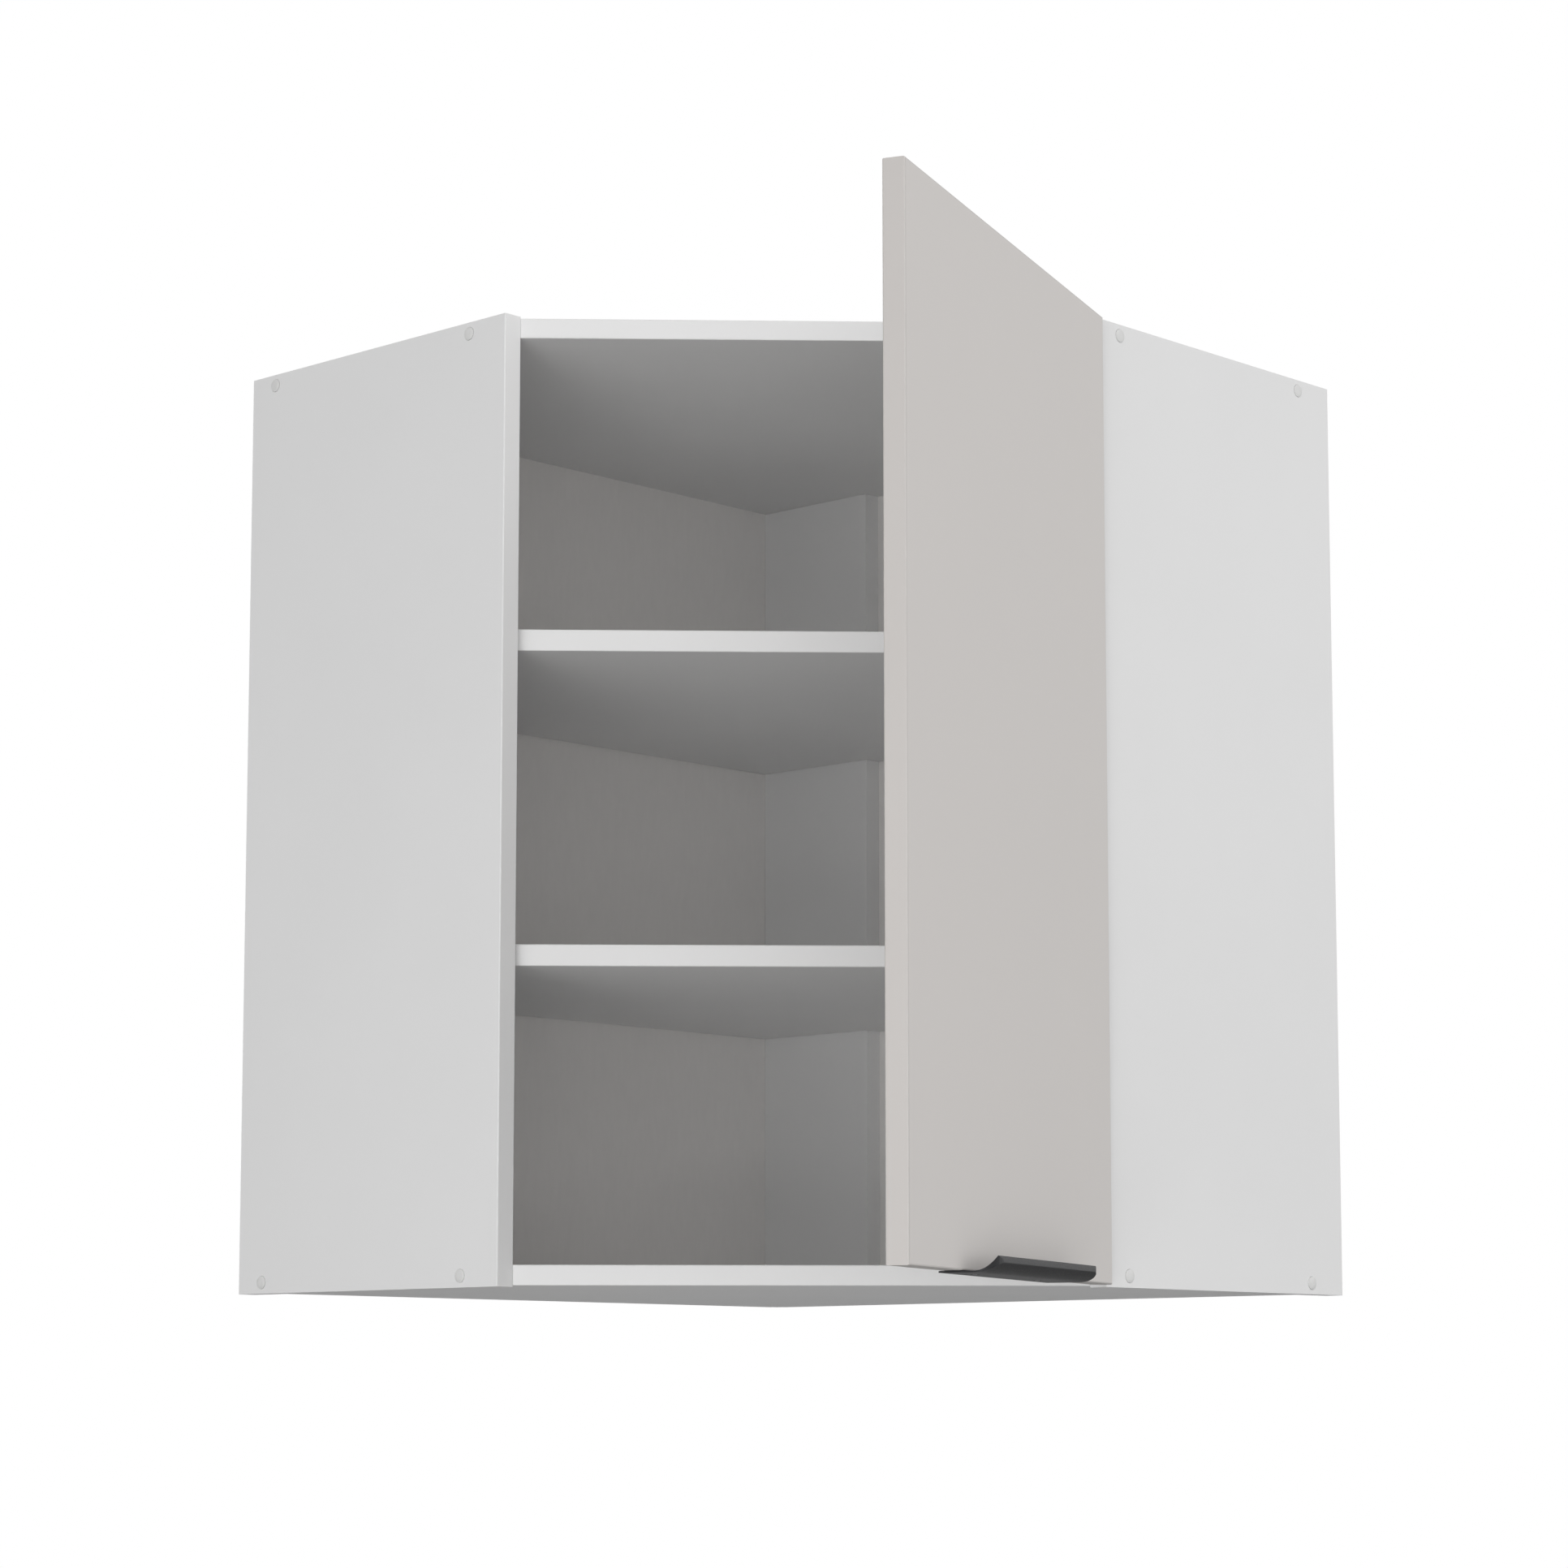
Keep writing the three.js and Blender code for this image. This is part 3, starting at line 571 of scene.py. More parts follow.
class GeometryTree:
    """A Geometry Nodes tree with named inputs, drawn with short calls."""

    def __init__(self, name: str) -> None:
        """Starts an empty tree with a geometry output.

        Args:
            name: The tree's name.
        """
        self.group = bpy.data.node_groups.new(name, "GeometryNodeTree")
        self.group.interface.new_socket(
            "Geometry", in_out="OUTPUT", socket_type="NodeSocketGeometry"
        )
        self.entry = self.group.nodes.new("NodeGroupInput")
        self.exit = self.group.nodes.new("NodeGroupOutput")
        self.identifiers: dict[str, str] = {}

    def ask(self, name: str, kind: Input, value: int | Point) -> Socket:
        """Adds a named input.

        Args:
            name: The input's name.
            kind: Its kind.
            value: Its default.

        Returns:
            The socket that carries it.
        """
        made = self.group.interface.new_socket(name, in_out="INPUT", socket_type=kind.value)
        made.default_value = value
        self.identifiers[name] = made.identifier
        return self.entry.outputs[name]

    def node(self, kind: str, **inputs: object) -> bpy.types.Node:
        """Adds a node and fills its inputs.

        Args:
            kind: The node's type name.
            **inputs: Sockets to link or values to set, underscores standing for spaces.

        Returns:
            The node.
        """
        made = self.group.nodes.new(kind)
        for key, value in inputs.items():
            socket = made.inputs[key.replace("_", " ")]
            if isinstance(value, Socket):
                self.group.links.new(value, socket)
            else:
                socket.default_value = value
        return made

    def link(self, source: Socket, target: Socket) -> None:
        """Links two sockets."""
        self.group.links.new(source, target)

    def joined(self, parts: Iterable[Socket]) -> Socket:
        """Joins several geometries.

        Args:
            parts: The geometries.

        Returns:
            All of them as one.
        """
        made = self.node("GeometryNodeJoinGeometry")
        for part in parts:
            self.link(part, made.inputs[0])
        return made.outputs[0]

    def moved(
        self, shape: Socket, step: Point | Socket = (0, 0, 0), turn: Point | Socket = (0, 0, 0)
    ) -> Socket:
        """Turns a geometry about the origin and then moves it.

        Args:
            shape: The geometry.
            step: How far it moves, in metres.
            turn: How far it turns about each axis, in radians.

        Returns:
            The moved geometry.
        """
        made = self.node(
            "GeometryNodeTransform", Geometry=shape, Translation=step, Rotation=turn
        )
        return made.outputs[0]

    def repeated(self, line: bpy.types.Node, shape: Socket) -> Socket:
        """Sets a copy of a shape on every point of a line.

        Args:
            line: The Mesh Line node.
            shape: The geometry.

        Returns:
            The instances.
        """
        made = self.node(
            "GeometryNodeInstanceOnPoints", Points=line.outputs[0], Instance=shape
        )
        return made.outputs[0]

    def finish(self, geometry: Socket, finish: Material) -> None:
        """Ends the tree in Realize Instances and Set Material.

        Args:
            geometry: What the tree has made.
            finish: The material that it gets.
        """
        real = self.node("GeometryNodeRealizeInstances", Geometry=geometry)
        dressed = self.node("GeometryNodeSetMaterial", Geometry=real.outputs[0])
        dressed.inputs["Material"].default_value = finish
        self.link(dressed.outputs[0], self.exit.inputs[0])

    def bake(self, name: str, body: Body, slot: str, **inputs: object) -> bpy.types.Object:
        """Runs the tree on an empty object and keeps the result as a plain smooth mesh.

        Args:
            name: The object's name.
            body: The body that it rides on.
            slot: Not used.
            **inputs: Values for the named inputs.

        Returns:
            The object, which no longer has a modifier.
        """
        made = add_object(name, bpy.data.meshes.new(f"{name}_seed"))
        modifier = made.modifiers.new("shape", "NODES")
        modifier.node_group = self.group
        for key, value in inputs.items():
            modifier[self.identifiers[key]] = value
        settle(made)
        smooth(made.data)
        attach(made, body.value)
        return made


@dataclass
class CrossHeads:
    """Screw heads with a cross recess, in pairs, in millimetres and radians.

    edge is the height of the sloping rim and crown the top face's share of the radius.
    recess_reach is the length of the recess's bars as a share of the radius, and turn
    the recess's own angle.
    """

    finish: Material
    radius: float = 3.6
    height: float = 1.8
    edge: float = 0.9
    recess_width: float = 0.9
    recess_depth: float = 1.1
    recess_reach: float = 1.15
    crown: float = 0.7
    turn: float = 0.35
    segments: int = 40
    merge: float = 0.001

    def blank(self, tree: GeometryTree) -> Socket:
        """Draws a head without its recess: a low cylinder under a cone.

        Args:
            tree: The tree to draw in.

        Returns:
            The blank's geometry.
        """
        wall = self.height - self.edge
        rim = tree.node(
            "GeometryNodeMeshCylinder", Vertices=self.segments,
            Radius=self.radius * MM, Depth=wall * MM,
        )
        dome = tree.node(
            "GeometryNodeMeshCone", Vertices=self.segments,
            Radius_Bottom=self.radius * MM, Radius_Top=self.radius * self.crown * MM,
            Depth=self.edge * MM,
        )
        low = tree.moved(rim.outputs["Mesh"], (0, 0, wall / 2 * MM))
        high = tree.moved(dome.outputs["Mesh"], (0, 0, wall * MM))
        solid = tree.joined((low, high))
        merged = tree.node(
            "GeometryNodeMergeByDistance", Geometry=solid, Distance=self.merge * MM
        )
        return merged.outputs[0]

    def recess(self, tree: GeometryTree) -> Socket:
        """Draws the two crossed bars that the recess is cut with.

        Args:
            tree: The tree to draw in.

        Returns:
            The bars' geometry.
        """
        size = (
            self.radius * self.recess_reach * MM, self.recess_width * MM,
            2 * self.recess_depth * MM,
        )
        bars = []
        for quarter in (0, 1):
            bar = tree.node("GeometryNodeMeshCube", Size=size)
            angle = self.turn + quarter * math.pi / 2
            bars.append(tree.moved(bar.outputs["Mesh"], (0, 0, self.height * MM), (0, 0, angle)))
        return tree.joined(bars)

    def head(self, tree: GeometryTree) -> Socket:
        """Draws one head on its back at the origin, its top towards +Z.

        Args:
            tree: The tree to draw in.

        Returns:
            The head's geometry.
        """
        cut = tree.group.nodes.new("GeometryNodeMeshBoolean")
        cut.operation = "DIFFERENCE"
        tree.link(self.blank(tree), cut.inputs[0])
        tree.link(self.recess(tree), cut.inputs[1])
        return cut.outputs[0]

    def pairs(self, tree: GeometryTree, head: Socket) -> Socket:
        """Sets heads on two pairs.

        Args:
            tree: The tree to draw in.
            head: One head.

        Returns:
            The instances.
        """
        start = tree.ask("Start", Input.VECTOR, (0, 0, 0))
        within = tree.ask("Within_pair", Input.VECTOR, (0, 0, 0.048))
        between = tree.ask("Between_pairs", Input.VECTOR, (0, 0, 0.5))
        facing = tree.ask("Facing", Input.VECTOR, (0, 0, 0))
        both = tree.node("GeometryNodeMeshLine", Count=2, Start_Location=start, Offset=between)
        pair = tree.node("GeometryNodeMeshLine", Count=2, Offset=within)
        turned = tree.moved(head, turn=facing)
        return tree.repeated(both, tree.repeated(pair, turned))

    def tree(self, name: str) -> GeometryTree:
        """Draws the whole tree.

        Args:
            name: The tree's name.

        Returns:
            The tree.
        """
        made = GeometryTree(name)
        made.finish(self.pairs(made, self.head(made)), self.finish)
        return made


@dataclass
class NailRow:
    """Flat nail heads that hold a back sheet to the rear edges of the top and bottom panels."""

    finish: Material
    radius: float = 1.7
    height: float = 0.5
    count: int = 5
    segments: int = 20

    def tree(self) -> GeometryTree:
        """Draws a tree that sets heads on a line.

        Returns:
            The tree.
        """
        made = GeometryTree("nail_row")
        start = made.ask("Start", Input.VECTOR, (0, 0, 0))
        step = made.ask("Step", Input.VECTOR, (0, 0.1, 0))
        facing = made.ask("Facing", Input.VECTOR, (0, 0, 0))
        number = made.ask("Number", Input.COUNT, self.count)
        line = made.node("GeometryNodeMeshLine", Count=number, Start_Location=start, Offset=step)
        disc = made.node(
            "GeometryNodeMeshCylinder", Vertices=self.segments,
            Radius=self.radius * MM, Depth=self.height * MM,
        )
        lifted = made.moved(disc.outputs["Mesh"], (0, 0, self.height / 2 * MM))
        turned = made.moved(lifted, turn=facing)
        made.finish(made.repeated(line, turned), self.finish)
        return made


@dataclass
class Carcass:
    """The seven boards and the two back sheets, with the sheets' nails, in millimetres.

    ease is the width of the boards' eased edges. nail_levels are the heights of the
    nail rows, nail_first the first nail's distance from the room corner and nail_step
    the distance between nails. sheet_rear is a sheet's rear face, from its wall.
    """

    boards: tuple[str, ...] = (
        "top_panel", "bottom_panel", "lower_shelf", "upper_shelf", "corner_post",
    )
    walls: tuple[tuple[str, Wall], ...] = (("left", Wall.LEFT), ("right", Wall.RIGHT))
    ease: float = 0.25
    nail_levels: tuple[tuple[str, float], ...] = (("lower", 8.5), ("upper", 707.5))
    nail_first: float = 55.0
    nail_step: float = 120.0
    sheet_rear: float = 11.0

    def build(
        self, coat: Material, edge: Material, sheet: Material, felt: Material, steel: Material
    ) -> None:
        """Dresses the boards and sheets and nails the sheets on.

        Args:
            coat: The boards' coating.
            edge: The bare rear edges of the side panels.
            sheet: The back sheets' lacquered face.
            felt: The back sheets' bare rear face.
            steel: The nails' steel.
        """
        for node in self.boards:
            Refined(node, Body.CARCASS, "board", self.ease).build(coat)
            log.info("board %s", node)
        for hand, wall in self.walls:
            side = Refined(
                f"{hand}_side_panel", Body.CARCASS, "board", self.ease, other_side=wall.faced
            )
            side.build(coat, edge)
            rear = Refined(
                f"{hand}_back_sheet", Body.CARCASS, "back_sheet", other_side=wall.faced
            )
            rear.build(sheet, felt)
            log.info("%s side panel and back sheet", hand)
        self.nails(steel)

    def nails(self, steel: Material) -> None:
        """Sets a row of nails along each end of each back sheet.

        Args:
            steel: The nails' steel.
        """
        tree = NailRow(steel).tree()
        for name, level in self.nail_levels:
            tree.bake(
                f"left_{name}_nails", Body.CARCASS, "steel",
                Start=(self.sheet_rear * MM, -self.nail_first * MM, level * MM),
                Step=(0, -self.nail_step * MM, 0), Facing=(0, -math.pi / 2, 0),
            )
            tree.bake(
                f"right_{name}_nails", Body.CARCASS, "steel",
                Start=(self.nail_first * MM, -self.sheet_rear * MM, level * MM),
                Step=(self.nail_step * MM, 0, 0), Facing=(-math.pi / 2, 0, 0),
            )
            log.info("%s back nails", name)


@dataclass
class Fixings:
    """The carcass screws with their caps, and the shelf pins."""

    hands: tuple[str, ...] = ("left", "right")
    levels: tuple[str, ...] = ("bottom", "top")
    depths: tuple[str, ...] = ("rear", "front")
    shelves: tuple[str, ...] = ("lower", "upper")
    pin_places: tuple[str, ...] = ("left_rear", "left_front", "right_rear", "right_front", "post")
    cap_smooth_below: float = 50.0

    def screw_places(self) -> Iterable[str]:
        """Names the place of each carcass screw.

        Yields:
            The place, as the screw's name gives it.
        """
        for hand in self.hands:
            for level in self.levels:
                for depth in self.depths:
                    yield f"{hand}_{level}_{depth}"

    def build(self, cap: Material, steel: Material) -> None:
        """Dresses the screws, caps and pins.

        Args:
            cap: The caps' plastic.
            steel: The steel of screws and pins.
        """
        for place in self.screw_places():
            dome = Refined(
                f"cap_{place}", Body.CARCASS, "cap",
                smooth_below=self.cap_smooth_below, levelled=False,
            )
            dome.build(cap)
            Refined(f"screw_{place}", Body.CARCASS, "steel").build(steel)
            log.info("carcass screw and cap %s", place)
        for shelf in self.shelves:
            for place in self.pin_places:
                Refined(f"pin_{shelf}_{place}", Body.CARCASS, "steel").build(steel)
            log.info("pins of the %s shelf", shelf)


@dataclass
class Hangers:
    """The two wall hangers with their hooks and adjusting screws, in millimetres.

    housing_end is a housing's front end, from its wall. The two screws stand one above
    the other, the middle of them at slot_level, at screw_column from the room corner
    along the wall. Their heads sit head_depth deep in the housing's end.
    """

    hands: tuple[str, ...] = ("left", "right")
    housing_ease: float = 0.4
    hook_ease: float = 0.25
    housing_end: float = 71.1
    head_depth: float = 5.9
    screw_column: float = 575.9
    slot_level: float = 669.0
    screw_spacing: float = 20.0
    screw_radius: float = 2.9
    screw_height: float = 1.6
    screw_edge: float = 0.5

    def build(self, housing: Material, hook: Material, screw: Material) -> None:
        """Dresses the hangers and adds their adjusting screws.

        Args:
            housing: The housings' plastic.
            hook: The hooks' steel.
            screw: The adjusting screws' steel.
        """
        for hand in self.hands:
            Refined(
                f"{hand}_hanger", Body.CARCASS, "hanger", self.housing_ease
            ).build(housing)
            Refined(f"{hand}_hanger_hook", Body.CARCASS, "steel", self.hook_ease).build(hook)
            log.info("%s wall hanger", hand)
        heads = CrossHeads(
            screw, radius=self.screw_radius, height=self.screw_height, edge=self.screw_edge
        )
        tree = heads.tree("hanger_screws")
        low = (self.slot_level - self.screw_spacing / 2) * MM
        column = self.screw_column * MM
        seat = (self.housing_end - self.head_depth) * MM
        spacing = (0, 0, self.screw_spacing * MM)
        tree.bake(
            "left_hanger_screws", Body.CARCASS, "steel",
            Start=(seat, -column, low), Within_pair=spacing,
            Between_pairs=(0, 0, 0), Facing=(0, math.pi / 2, 0),
        )
        tree.bake(
            "right_hanger_screws", Body.CARCASS, "steel",
            Start=(column, -seat, low), Within_pair=spacing,
            Between_pairs=(0, 0, 0), Facing=(math.pi / 2, 0, 0),
        )
        log.info("adjusting screws of the wall hangers")


@dataclass
class DoorPlace:
    """Where the open door stands: turns the door's own measures into the row frame.

    The hinge axis lies axis_inset millimetres from the hinge edge and axis_behind
    behind the inner face. end_gap is the step from the sides' lower ends up to the
    door's. opening and closed_heading are in degrees.
    """

    axis_inset: float = 2.95
    axis_behind: float = 0.61
    end_gap: float = 1.5
    opening: float = 66.0
    closed_heading: float = -135.0
    axis: Point = field(default_factory=lambda: tuple(frame["joints"][0]["pos_m"]))

    @property
    def heading(self) -> float:
        """Returns the direction from the hinge edge to the free edge, in radians."""
        return math.radians(self.opening + self.closed_heading)

    @property
    def along(self) -> Vector:
        """Returns the unit vector from the hinge edge to the free edge."""
        return Vector((math.cos(self.heading), math.sin(self.heading), 0))

    @property
    def outward(self) -> Vector:
        """Returns the outer face's unit normal."""
        return Vector((-math.sin(self.heading), math.cos(self.heading), 0))

    def point(self, run: float, out: float, rise: float) -> Point:
        """Turns door measures in millimetres into a place.

        Args:
            run: Distance from the hinge edge.
            out: Distance in front of the inner face.
            rise: Height above the door's lower end.

        Returns:
            The place in metres.
        """
        start = Vector((self.axis[0], self.axis[1], 0))
        place = start + self.along * (run - self.axis_inset) * MM
        place += self.outward * (out + self.axis_behind) * MM
        return place.x, place.y, (rise + self.end_gap) * MM


@dataclass
class Door:
    """The door, its edge handle and the handle's two screws, in millimetres.

    middle is half the door's thickness. The screws' heads lie flush with the handle's
    underside, which is at handle_low from the door's lower end. A face counts as the
    front or the rear where its normal's cosine with the door's is front_cosine or more;
    the other faces, the edges and their arris, take a darker copy of the coating as
    painted shade.
    """

    place: DoorPlace
    width: float = 418.0
    middle: float = 8.0
    front_cosine: float = 0.97
    arris_smooth_below: float = 40.0
    handle_ease: float = 0.2
    handle_smooth_below: float = 30.0
    handle_low: float = -1.5
    screw_spacing: float = 128.0
    screw_radius: float = 3.2
    screw_height: float = 1.1
    screw_edge: float = 0.1
    recess: float = 0.8

    def build(self, front: Material, shaded_front: Material, handle: Material, screw: Material) -> None:
        """Dresses the door, with a darker copy of its coating on its edges as painted shade, and
        its handle.

        Args:
            front: The coating of the door's faces.
            shaded_front: The darker copy of the coating on the door's edges, a painted shade.
            handle: The handle's coating.
            screw: The screws' steel.
        """
        # The door's edges and their arris take the darker copy of the coating, as painted shade.
        panel = Refined(
            "door", Body.DOOR, "door_front",
            smooth_below=self.arris_smooth_below, other_side=self.on_edge,
        )
        panel.build(front, shaded_front)
        log.info("door")
        profile = Refined(
            "door_handle", Body.DOOR, "handle_metal", self.handle_ease, self.handle_smooth_below
        )
        profile.build(handle)
        heads = CrossHeads(
            screw, radius=self.screw_radius, height=self.screw_height, edge=self.screw_edge,
            recess_width=self.recess, recess_depth=self.recess,
        )
        first = self.width / 2 - self.screw_spacing / 2
        start = self.place.point(first, self.middle, self.handle_low + self.screw_height)
        pair = heads.tree("handle_screws").bake(
            "handle_screws", Body.DOOR, "steel",
            Start=start, Within_pair=tuple(self.place.along * self.screw_spacing * MM),
            Between_pairs=(0, 0, 0), Facing=(math.pi, 0, self.place.heading),
        )
        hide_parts("handle_screw_1", "handle_screw_2")
        log.info("handle with its screws")

    def on_edge(self, normal: Vector) -> bool:
        """Tells whether a face with this normal is one of the door's edges or its arris."""
        return abs(normal.dot(self.place.outward)) < self.front_cosine


@dataclass
class Hinges:
    """Two cranked cup hinges with their plates and screws, in millimetres.

    from_end is a hinge's distance from the door's end, cup_inset the cup's from the
    hinge edge and flange_rear the flange's rear face, from the door's inner face. The
    cup screws' heads stand head_gap clear of it. arm_face and plate_face are the faces
    that the other heads sit on, arm_screws_from the first arm screw's place and
    plate_middle the middle of the plate.
    """

    place: DoorPlace
    names: tuple[str, ...] = ("lower", "upper")
    ease: float = 0.15
    plate_ease: float = 0.2
    from_end: float = 100.0
    door_height: float = 713.0
    cup_inset: float = 23.5
    cup_screw_spacing: float = 48.0
    flange_rear: float = -1.5
    head_gap: float = 0.05
    arm_face: float = 573.4
    arm_screws_from: float = -243.0
    arm_screw_spacing: float = 22.0
    arm_screw_radius: float = 3.0
    arm_screw_height: float = 1.0
    arm_screw_edge: float = 0.3
    plate_face: float = 582.3
    plate_middle: float = -253.0
    plate_screw_spacing: float = 36.0

    @property
    def apart(self) -> Point:
        """Returns the step from the lower hinge to the upper one."""
        return 0, 0, (self.door_height - 2 * self.from_end) * MM

    @property
    def level(self) -> float:
        """Returns the lower hinge's height, in millimetres."""
        return self.from_end + self.place.end_gap

    def build(self, nickel: Material, steel: Material) -> None:
        """Dresses the hinges and makes their screw heads.

        Args:
            nickel: The hinges' plating.
            steel: The screws' plating.
        """
        for name in self.names:
            Refined(f"{name}_hinge_cup", Body.DOOR, "hinge_metal", self.ease).build(nickel)
            Refined(f"{name}_hinge_arm", Body.CARCASS, "hinge_metal", self.ease).build(nickel)
            Refined(
                f"{name}_hinge_plate", Body.CARCASS, "hinge_metal", self.plate_ease
            ).build(nickel)
            Refined(f"{name}_hinge_axle", Body.CARCASS, "steel").build(steel)
            log.info("%s hinge", name)
        heads = CrossHeads(steel).tree("hinge_screws")
        self.cup_screws(heads)
        self.plate_screws(heads)
        self.arm_screws(steel)
        log.info("hinge screws")

    def stand_in(self, kind: str) -> None:
        """Says which CAD screws a set of heads stands for.

        Args:
            kind: The screws' kind, as their names give it.
        """
        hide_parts(*(f"{name}_{kind}_screw_{i}" for name in self.names for i in (1, 2)))

    def cup_screws(self, heads: GeometryTree) -> None:
        """Sets the screws that hold the cups in the door.

        Args:
            heads: The heads' tree.
        """
        start = self.place.point(
            self.cup_inset, self.flange_rear - self.head_gap,
            self.from_end - self.cup_screw_spacing / 2,
        )
        made = heads.bake(
            "cup_screws", Body.DOOR, "steel", Start=start,
            Within_pair=(0, 0, self.cup_screw_spacing * MM), Between_pairs=self.apart,
            Facing=(0, -math.pi / 2, self.place.heading + math.pi / 2),
        )
        self.stand_in("cup")

    def plate_screws(self, heads: GeometryTree) -> None:
        """Sets the screws that hold the plates to the side panel.

        Args:
            heads: The heads' tree.
        """
        low = (self.level - self.plate_screw_spacing / 2) * MM
        made = heads.bake(
            "plate_screws", Body.CARCASS, "steel",
            Start=(self.plate_face * MM, self.plate_middle * MM, low),
            Within_pair=(0, 0, self.plate_screw_spacing * MM), Between_pairs=self.apart,
            Facing=(0, -math.pi / 2, 0),
        )
        self.stand_in("plate")

    def arm_screws(self, steel: Material) -> None:
        """Sets the two adjusting screws on each arm.

        Args:
            steel: The screws' plating.
        """
        heads = CrossHeads(
            steel, radius=self.arm_screw_radius, height=self.arm_screw_height,
            edge=self.arm_screw_edge,
        )
        heads.tree("arm_screws").bake(
            "arm_screws", Body.CARCASS, "steel",
            Start=(self.arm_face * MM, self.arm_screws_from * MM, self.level * MM),
            Within_pair=(0, -self.arm_screw_spacing * MM, 0), Between_pairs=self.apart,
            Facing=(0, -math.pi / 2, 0),
        )


@dataclass(frozen=True)
class SoftLamp:
    """A square soft lamp: its place and size in metres and its power in watts."""

    name: str
    place: Point
    size: float
    power: float

    def build(self, target: Point) -> None:
        """Hangs the lamp and aims it.

        Args:
            target: The place that it looks at.
        """
        data = bpy.data.lights.new(self.name, "AREA")
        data.shape = "SQUARE"
        data.size = self.size
        data.energy = self.power
        made = add_object(self.name, data)
        made.location = self.place
        aim = Vector(target) - Vector(self.place)
        made.rotation_euler = aim.to_track_quat("-Z", "Y").to_euler()


@dataclass
class Floor:
    """A round floor that is pale to the eye and darker for the light that it throws back.

    Its level and radius are in metres. It fades out between the shares of its radius
    that fade gives.
    """

    level: float = -1.6
    radius: float = 14.0
    segments: int = 96
    seen: Colour = (0.8, 0.8, 0.8)
    thrown: Colour = (0.32, 0.32, 0.32)
    glow: float = 0.58
    clouds: Grain = Grain(2.0)
    cloud_depth: float = 0.005
    roughness: float = 0.9
    fade: Span = (0.35, 0.95)

    def build(self) -> None:
        """Lays the floor."""
        shape = bmesh.new()
        bmesh.ops.create_circle(shape, cap_ends=True, radius=self.radius, segments=self.segments)
        mesh = bpy.data.meshes.new("floor_mesh")
        shape.to_mesh(mesh)
        shape.free()
        mesh.transform(Matrix.Translation((0, 0, self.level)))
        mesh.materials.append(self.paint())
        add_object("floor", mesh)

    def paint(self) -> Material:
        """Draws the floor's finish.

        Returns:
            The material.
        """
        sketch = Sketch("pale_floor")
        inputs = sketch.shader.inputs
        sketch.set(Roughness=self.roughness, Specular_IOR_Level=0.0, Emission_Color=WHITE)
        to_camera = sketch.node("ShaderNodeLightPath").outputs["Is Camera Ray"]
        hidden = sketch.node("ShaderNodeMath", operation="SUBTRACT")
        hidden.inputs[0].default_value = 1.0
        sketch.join(to_camera, hidden.inputs[1])
        pale = sketch.tint(self.seen, sketch.noise(self.clouds), self.cloud_depth)
        sketch.join(sketch.blend(hidden.outputs[0], pale, self.thrown), inputs["Base Color"])
        glow = sketch.node("ShaderNodeMath", operation="MULTIPLY")
        sketch.join(to_camera, glow.inputs[0])
        glow.inputs[1].default_value = self.glow
        sketch.join(glow.outputs[0], inputs["Emission Strength"])
        sketch.join(self.faded(sketch), inputs["Alpha"])
        return sketch.material

    def faded(self, sketch: Sketch) -> Socket:
        """Lets the floor fade with the distance from its middle.

        Args:
            sketch: The floor's material tree.

        Returns:
            1 in the middle and 0 at the rim.
        """
        span = sketch.node("ShaderNodeVectorMath", operation="LENGTH")
        sketch.join(sketch.stretched((1, 1, 0)), span.inputs[0])
        fade = sketch.node("ShaderNodeMapRange", clamp=True, interpolation_type="SMOOTHSTEP")
        sketch.join(span.outputs["Value"], fade.inputs["Value"])
        fade.inputs["From Min"].default_value = self.radius * self.fade[0]
        fade.inputs["From Max"].default_value = self.radius * self.fade[1]
        fade.inputs["To Min"].default_value = 1.0
        fade.inputs["To Max"].default_value = 0.0
        return fade.outputs["Result"]


@dataclass
class Surround:
    """An even light from all sides, which the camera and reflections see as white."""

    strength: float = 0.475
    seen: float = 1.0

    def build(self) -> None:
        """Puts the light in the world."""
        world = bpy.data.worlds.new("white_surround")
        bpy.context.scene.world = world
        world.use_nodes = True
        tree = world.node_tree
        light = tree.nodes["Background"]
        seen = tree.nodes.new("ShaderNodeBackground")
        for background, strength in ((light, self.strength), (seen, self.seen)):
            background.inputs["Color"].default_value = WHITE
            background.inputs["Strength"].default_value = strength
        path = tree.nodes.new("ShaderNodeLightPath")
        either = tree.nodes.new("ShaderNodeMath")
        either.operation = "MAXIMUM"
        tree.links.new(path.outputs["Is Camera Ray"], either.inputs[0])
        tree.links.new(path.outputs["Is Glossy Ray"], either.inputs[1])
        mix = tree.nodes.new("ShaderNodeMixShader")
        tree.links.new(either.outputs[0], mix.inputs[0])
        tree.links.new(light.outputs[0], mix.inputs[1])
        tree.links.new(seen.outputs[0], mix.inputs[2])
        tree.links.new(mix.outputs[0], tree.nodes["World Output"].inputs["Surface"])


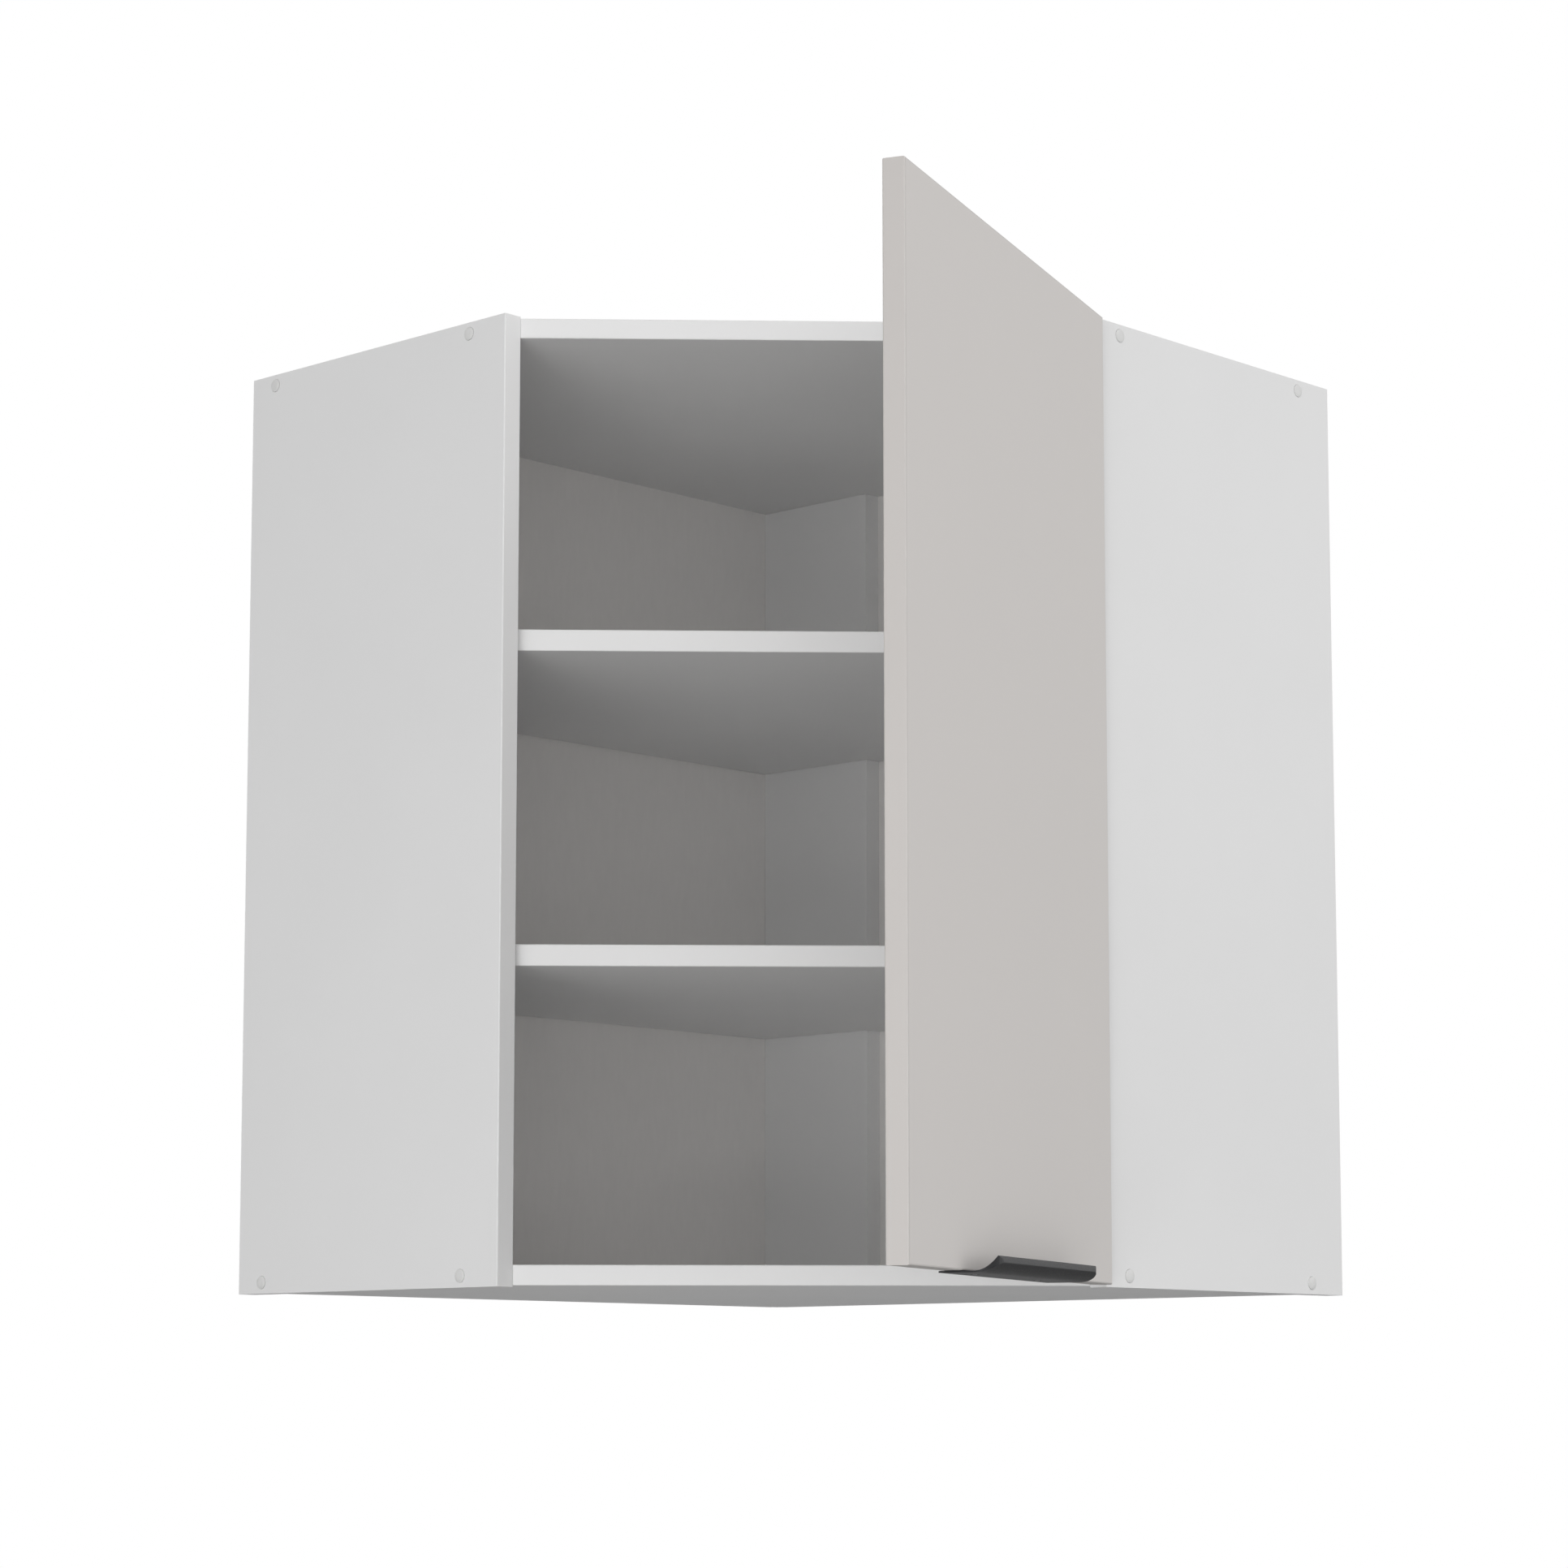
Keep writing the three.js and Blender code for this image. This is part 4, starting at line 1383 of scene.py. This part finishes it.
@dataclass
class LowCamera:
    """The camera, low in front of the door: metres, degrees and millimetres of lens."""

    place: Point = (2.4276, -2.5757, -0.0898)
    heading: float = -43.201
    pitch: float = 7.105
    lens: float = 92.71
    sensor: float = 36.0
    shift: float = 0.08

    def build(self) -> None:
        """Places the camera."""
        data = bpy.data.cameras.new("camera")
        data.lens = self.lens
        data.sensor_width = self.sensor
        data.shift_y = self.shift
        made = add_object("camera", data)
        made.location = self.place
        made.rotation_mode = "QUATERNION"
        heading = math.radians(self.heading)
        pitch = math.radians(self.pitch)
        level = Vector((math.sin(heading), math.cos(heading), 0))
        aim = level * math.cos(pitch) + Vector((0, 0, math.sin(pitch)))
        made.rotation_quaternion = aim.to_track_quat("-Z", "Y")
        bpy.context.scene.camera = made


@dataclass
class Studio:
    """The floor, the surrounding light, the soft lamps and the camera."""

    target: Point = (0.3, -0.3, 0.36)
    lamps: tuple[SoftLamp, ...] = (
        SoftLamp("front_lamp", (3.7, -3.7, 0.5), size=3.0, power=32.0),
        SoftLamp("left_lamp", (2.3, -4.7, 0.5), size=3.0, power=24.0),
        SoftLamp("right_lamp", (4.0, 3.8, 0.9), size=3.0, power=29.0),
        SoftLamp("low_lamp", (2.2, -2.9, -1.4), size=2.0, power=36.0),
        SoftLamp("low_left_lamp", (1.3, -3.7, -1.3), size=2.0, power=18.0),
        SoftLamp("high_lamp", (4.2, 0.8, 3.4), size=3.0, power=53.0),
        SoftLamp("rear_lamp", (-3.7, 3.7, 1.4), size=3.0, power=90.0),
    )

    def build(self) -> None:
        """Puts the studio round the cabinet."""
        Floor().build()
        Surround().build()
        for lamp in self.lamps:
            lamp.build(self.target)
        LowCamera().build()
        log.info("studio with %d lamps", len(self.lamps))


def main() -> None:
    """Builds the cabinet's looks and its studio."""
    logging.basicConfig(level=logging.INFO, format="%(name)s: %(message)s")
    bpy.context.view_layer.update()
    zinc, nickel = ZINC.material(), NICKEL.material()
    Carcass().build(
        BOARD.material(), CHIPBOARD.material(), SHEET.material(), FELT.material(), zinc
    )
    Fixings().build(CAP.material(), zinc)
    Hangers().build(HANGER.material(), zinc, nickel)
    place = DoorPlace()
    Door(place).build(FRONT.material(), SHADED_FRONT.material(), GRAPHITE.material(), zinc)
    Hinges(place).build(nickel, zinc)
    Studio().build()
    bpy.context.scene.view_settings.view_transform = "Standard"


if __name__ == "__main__":
    main()
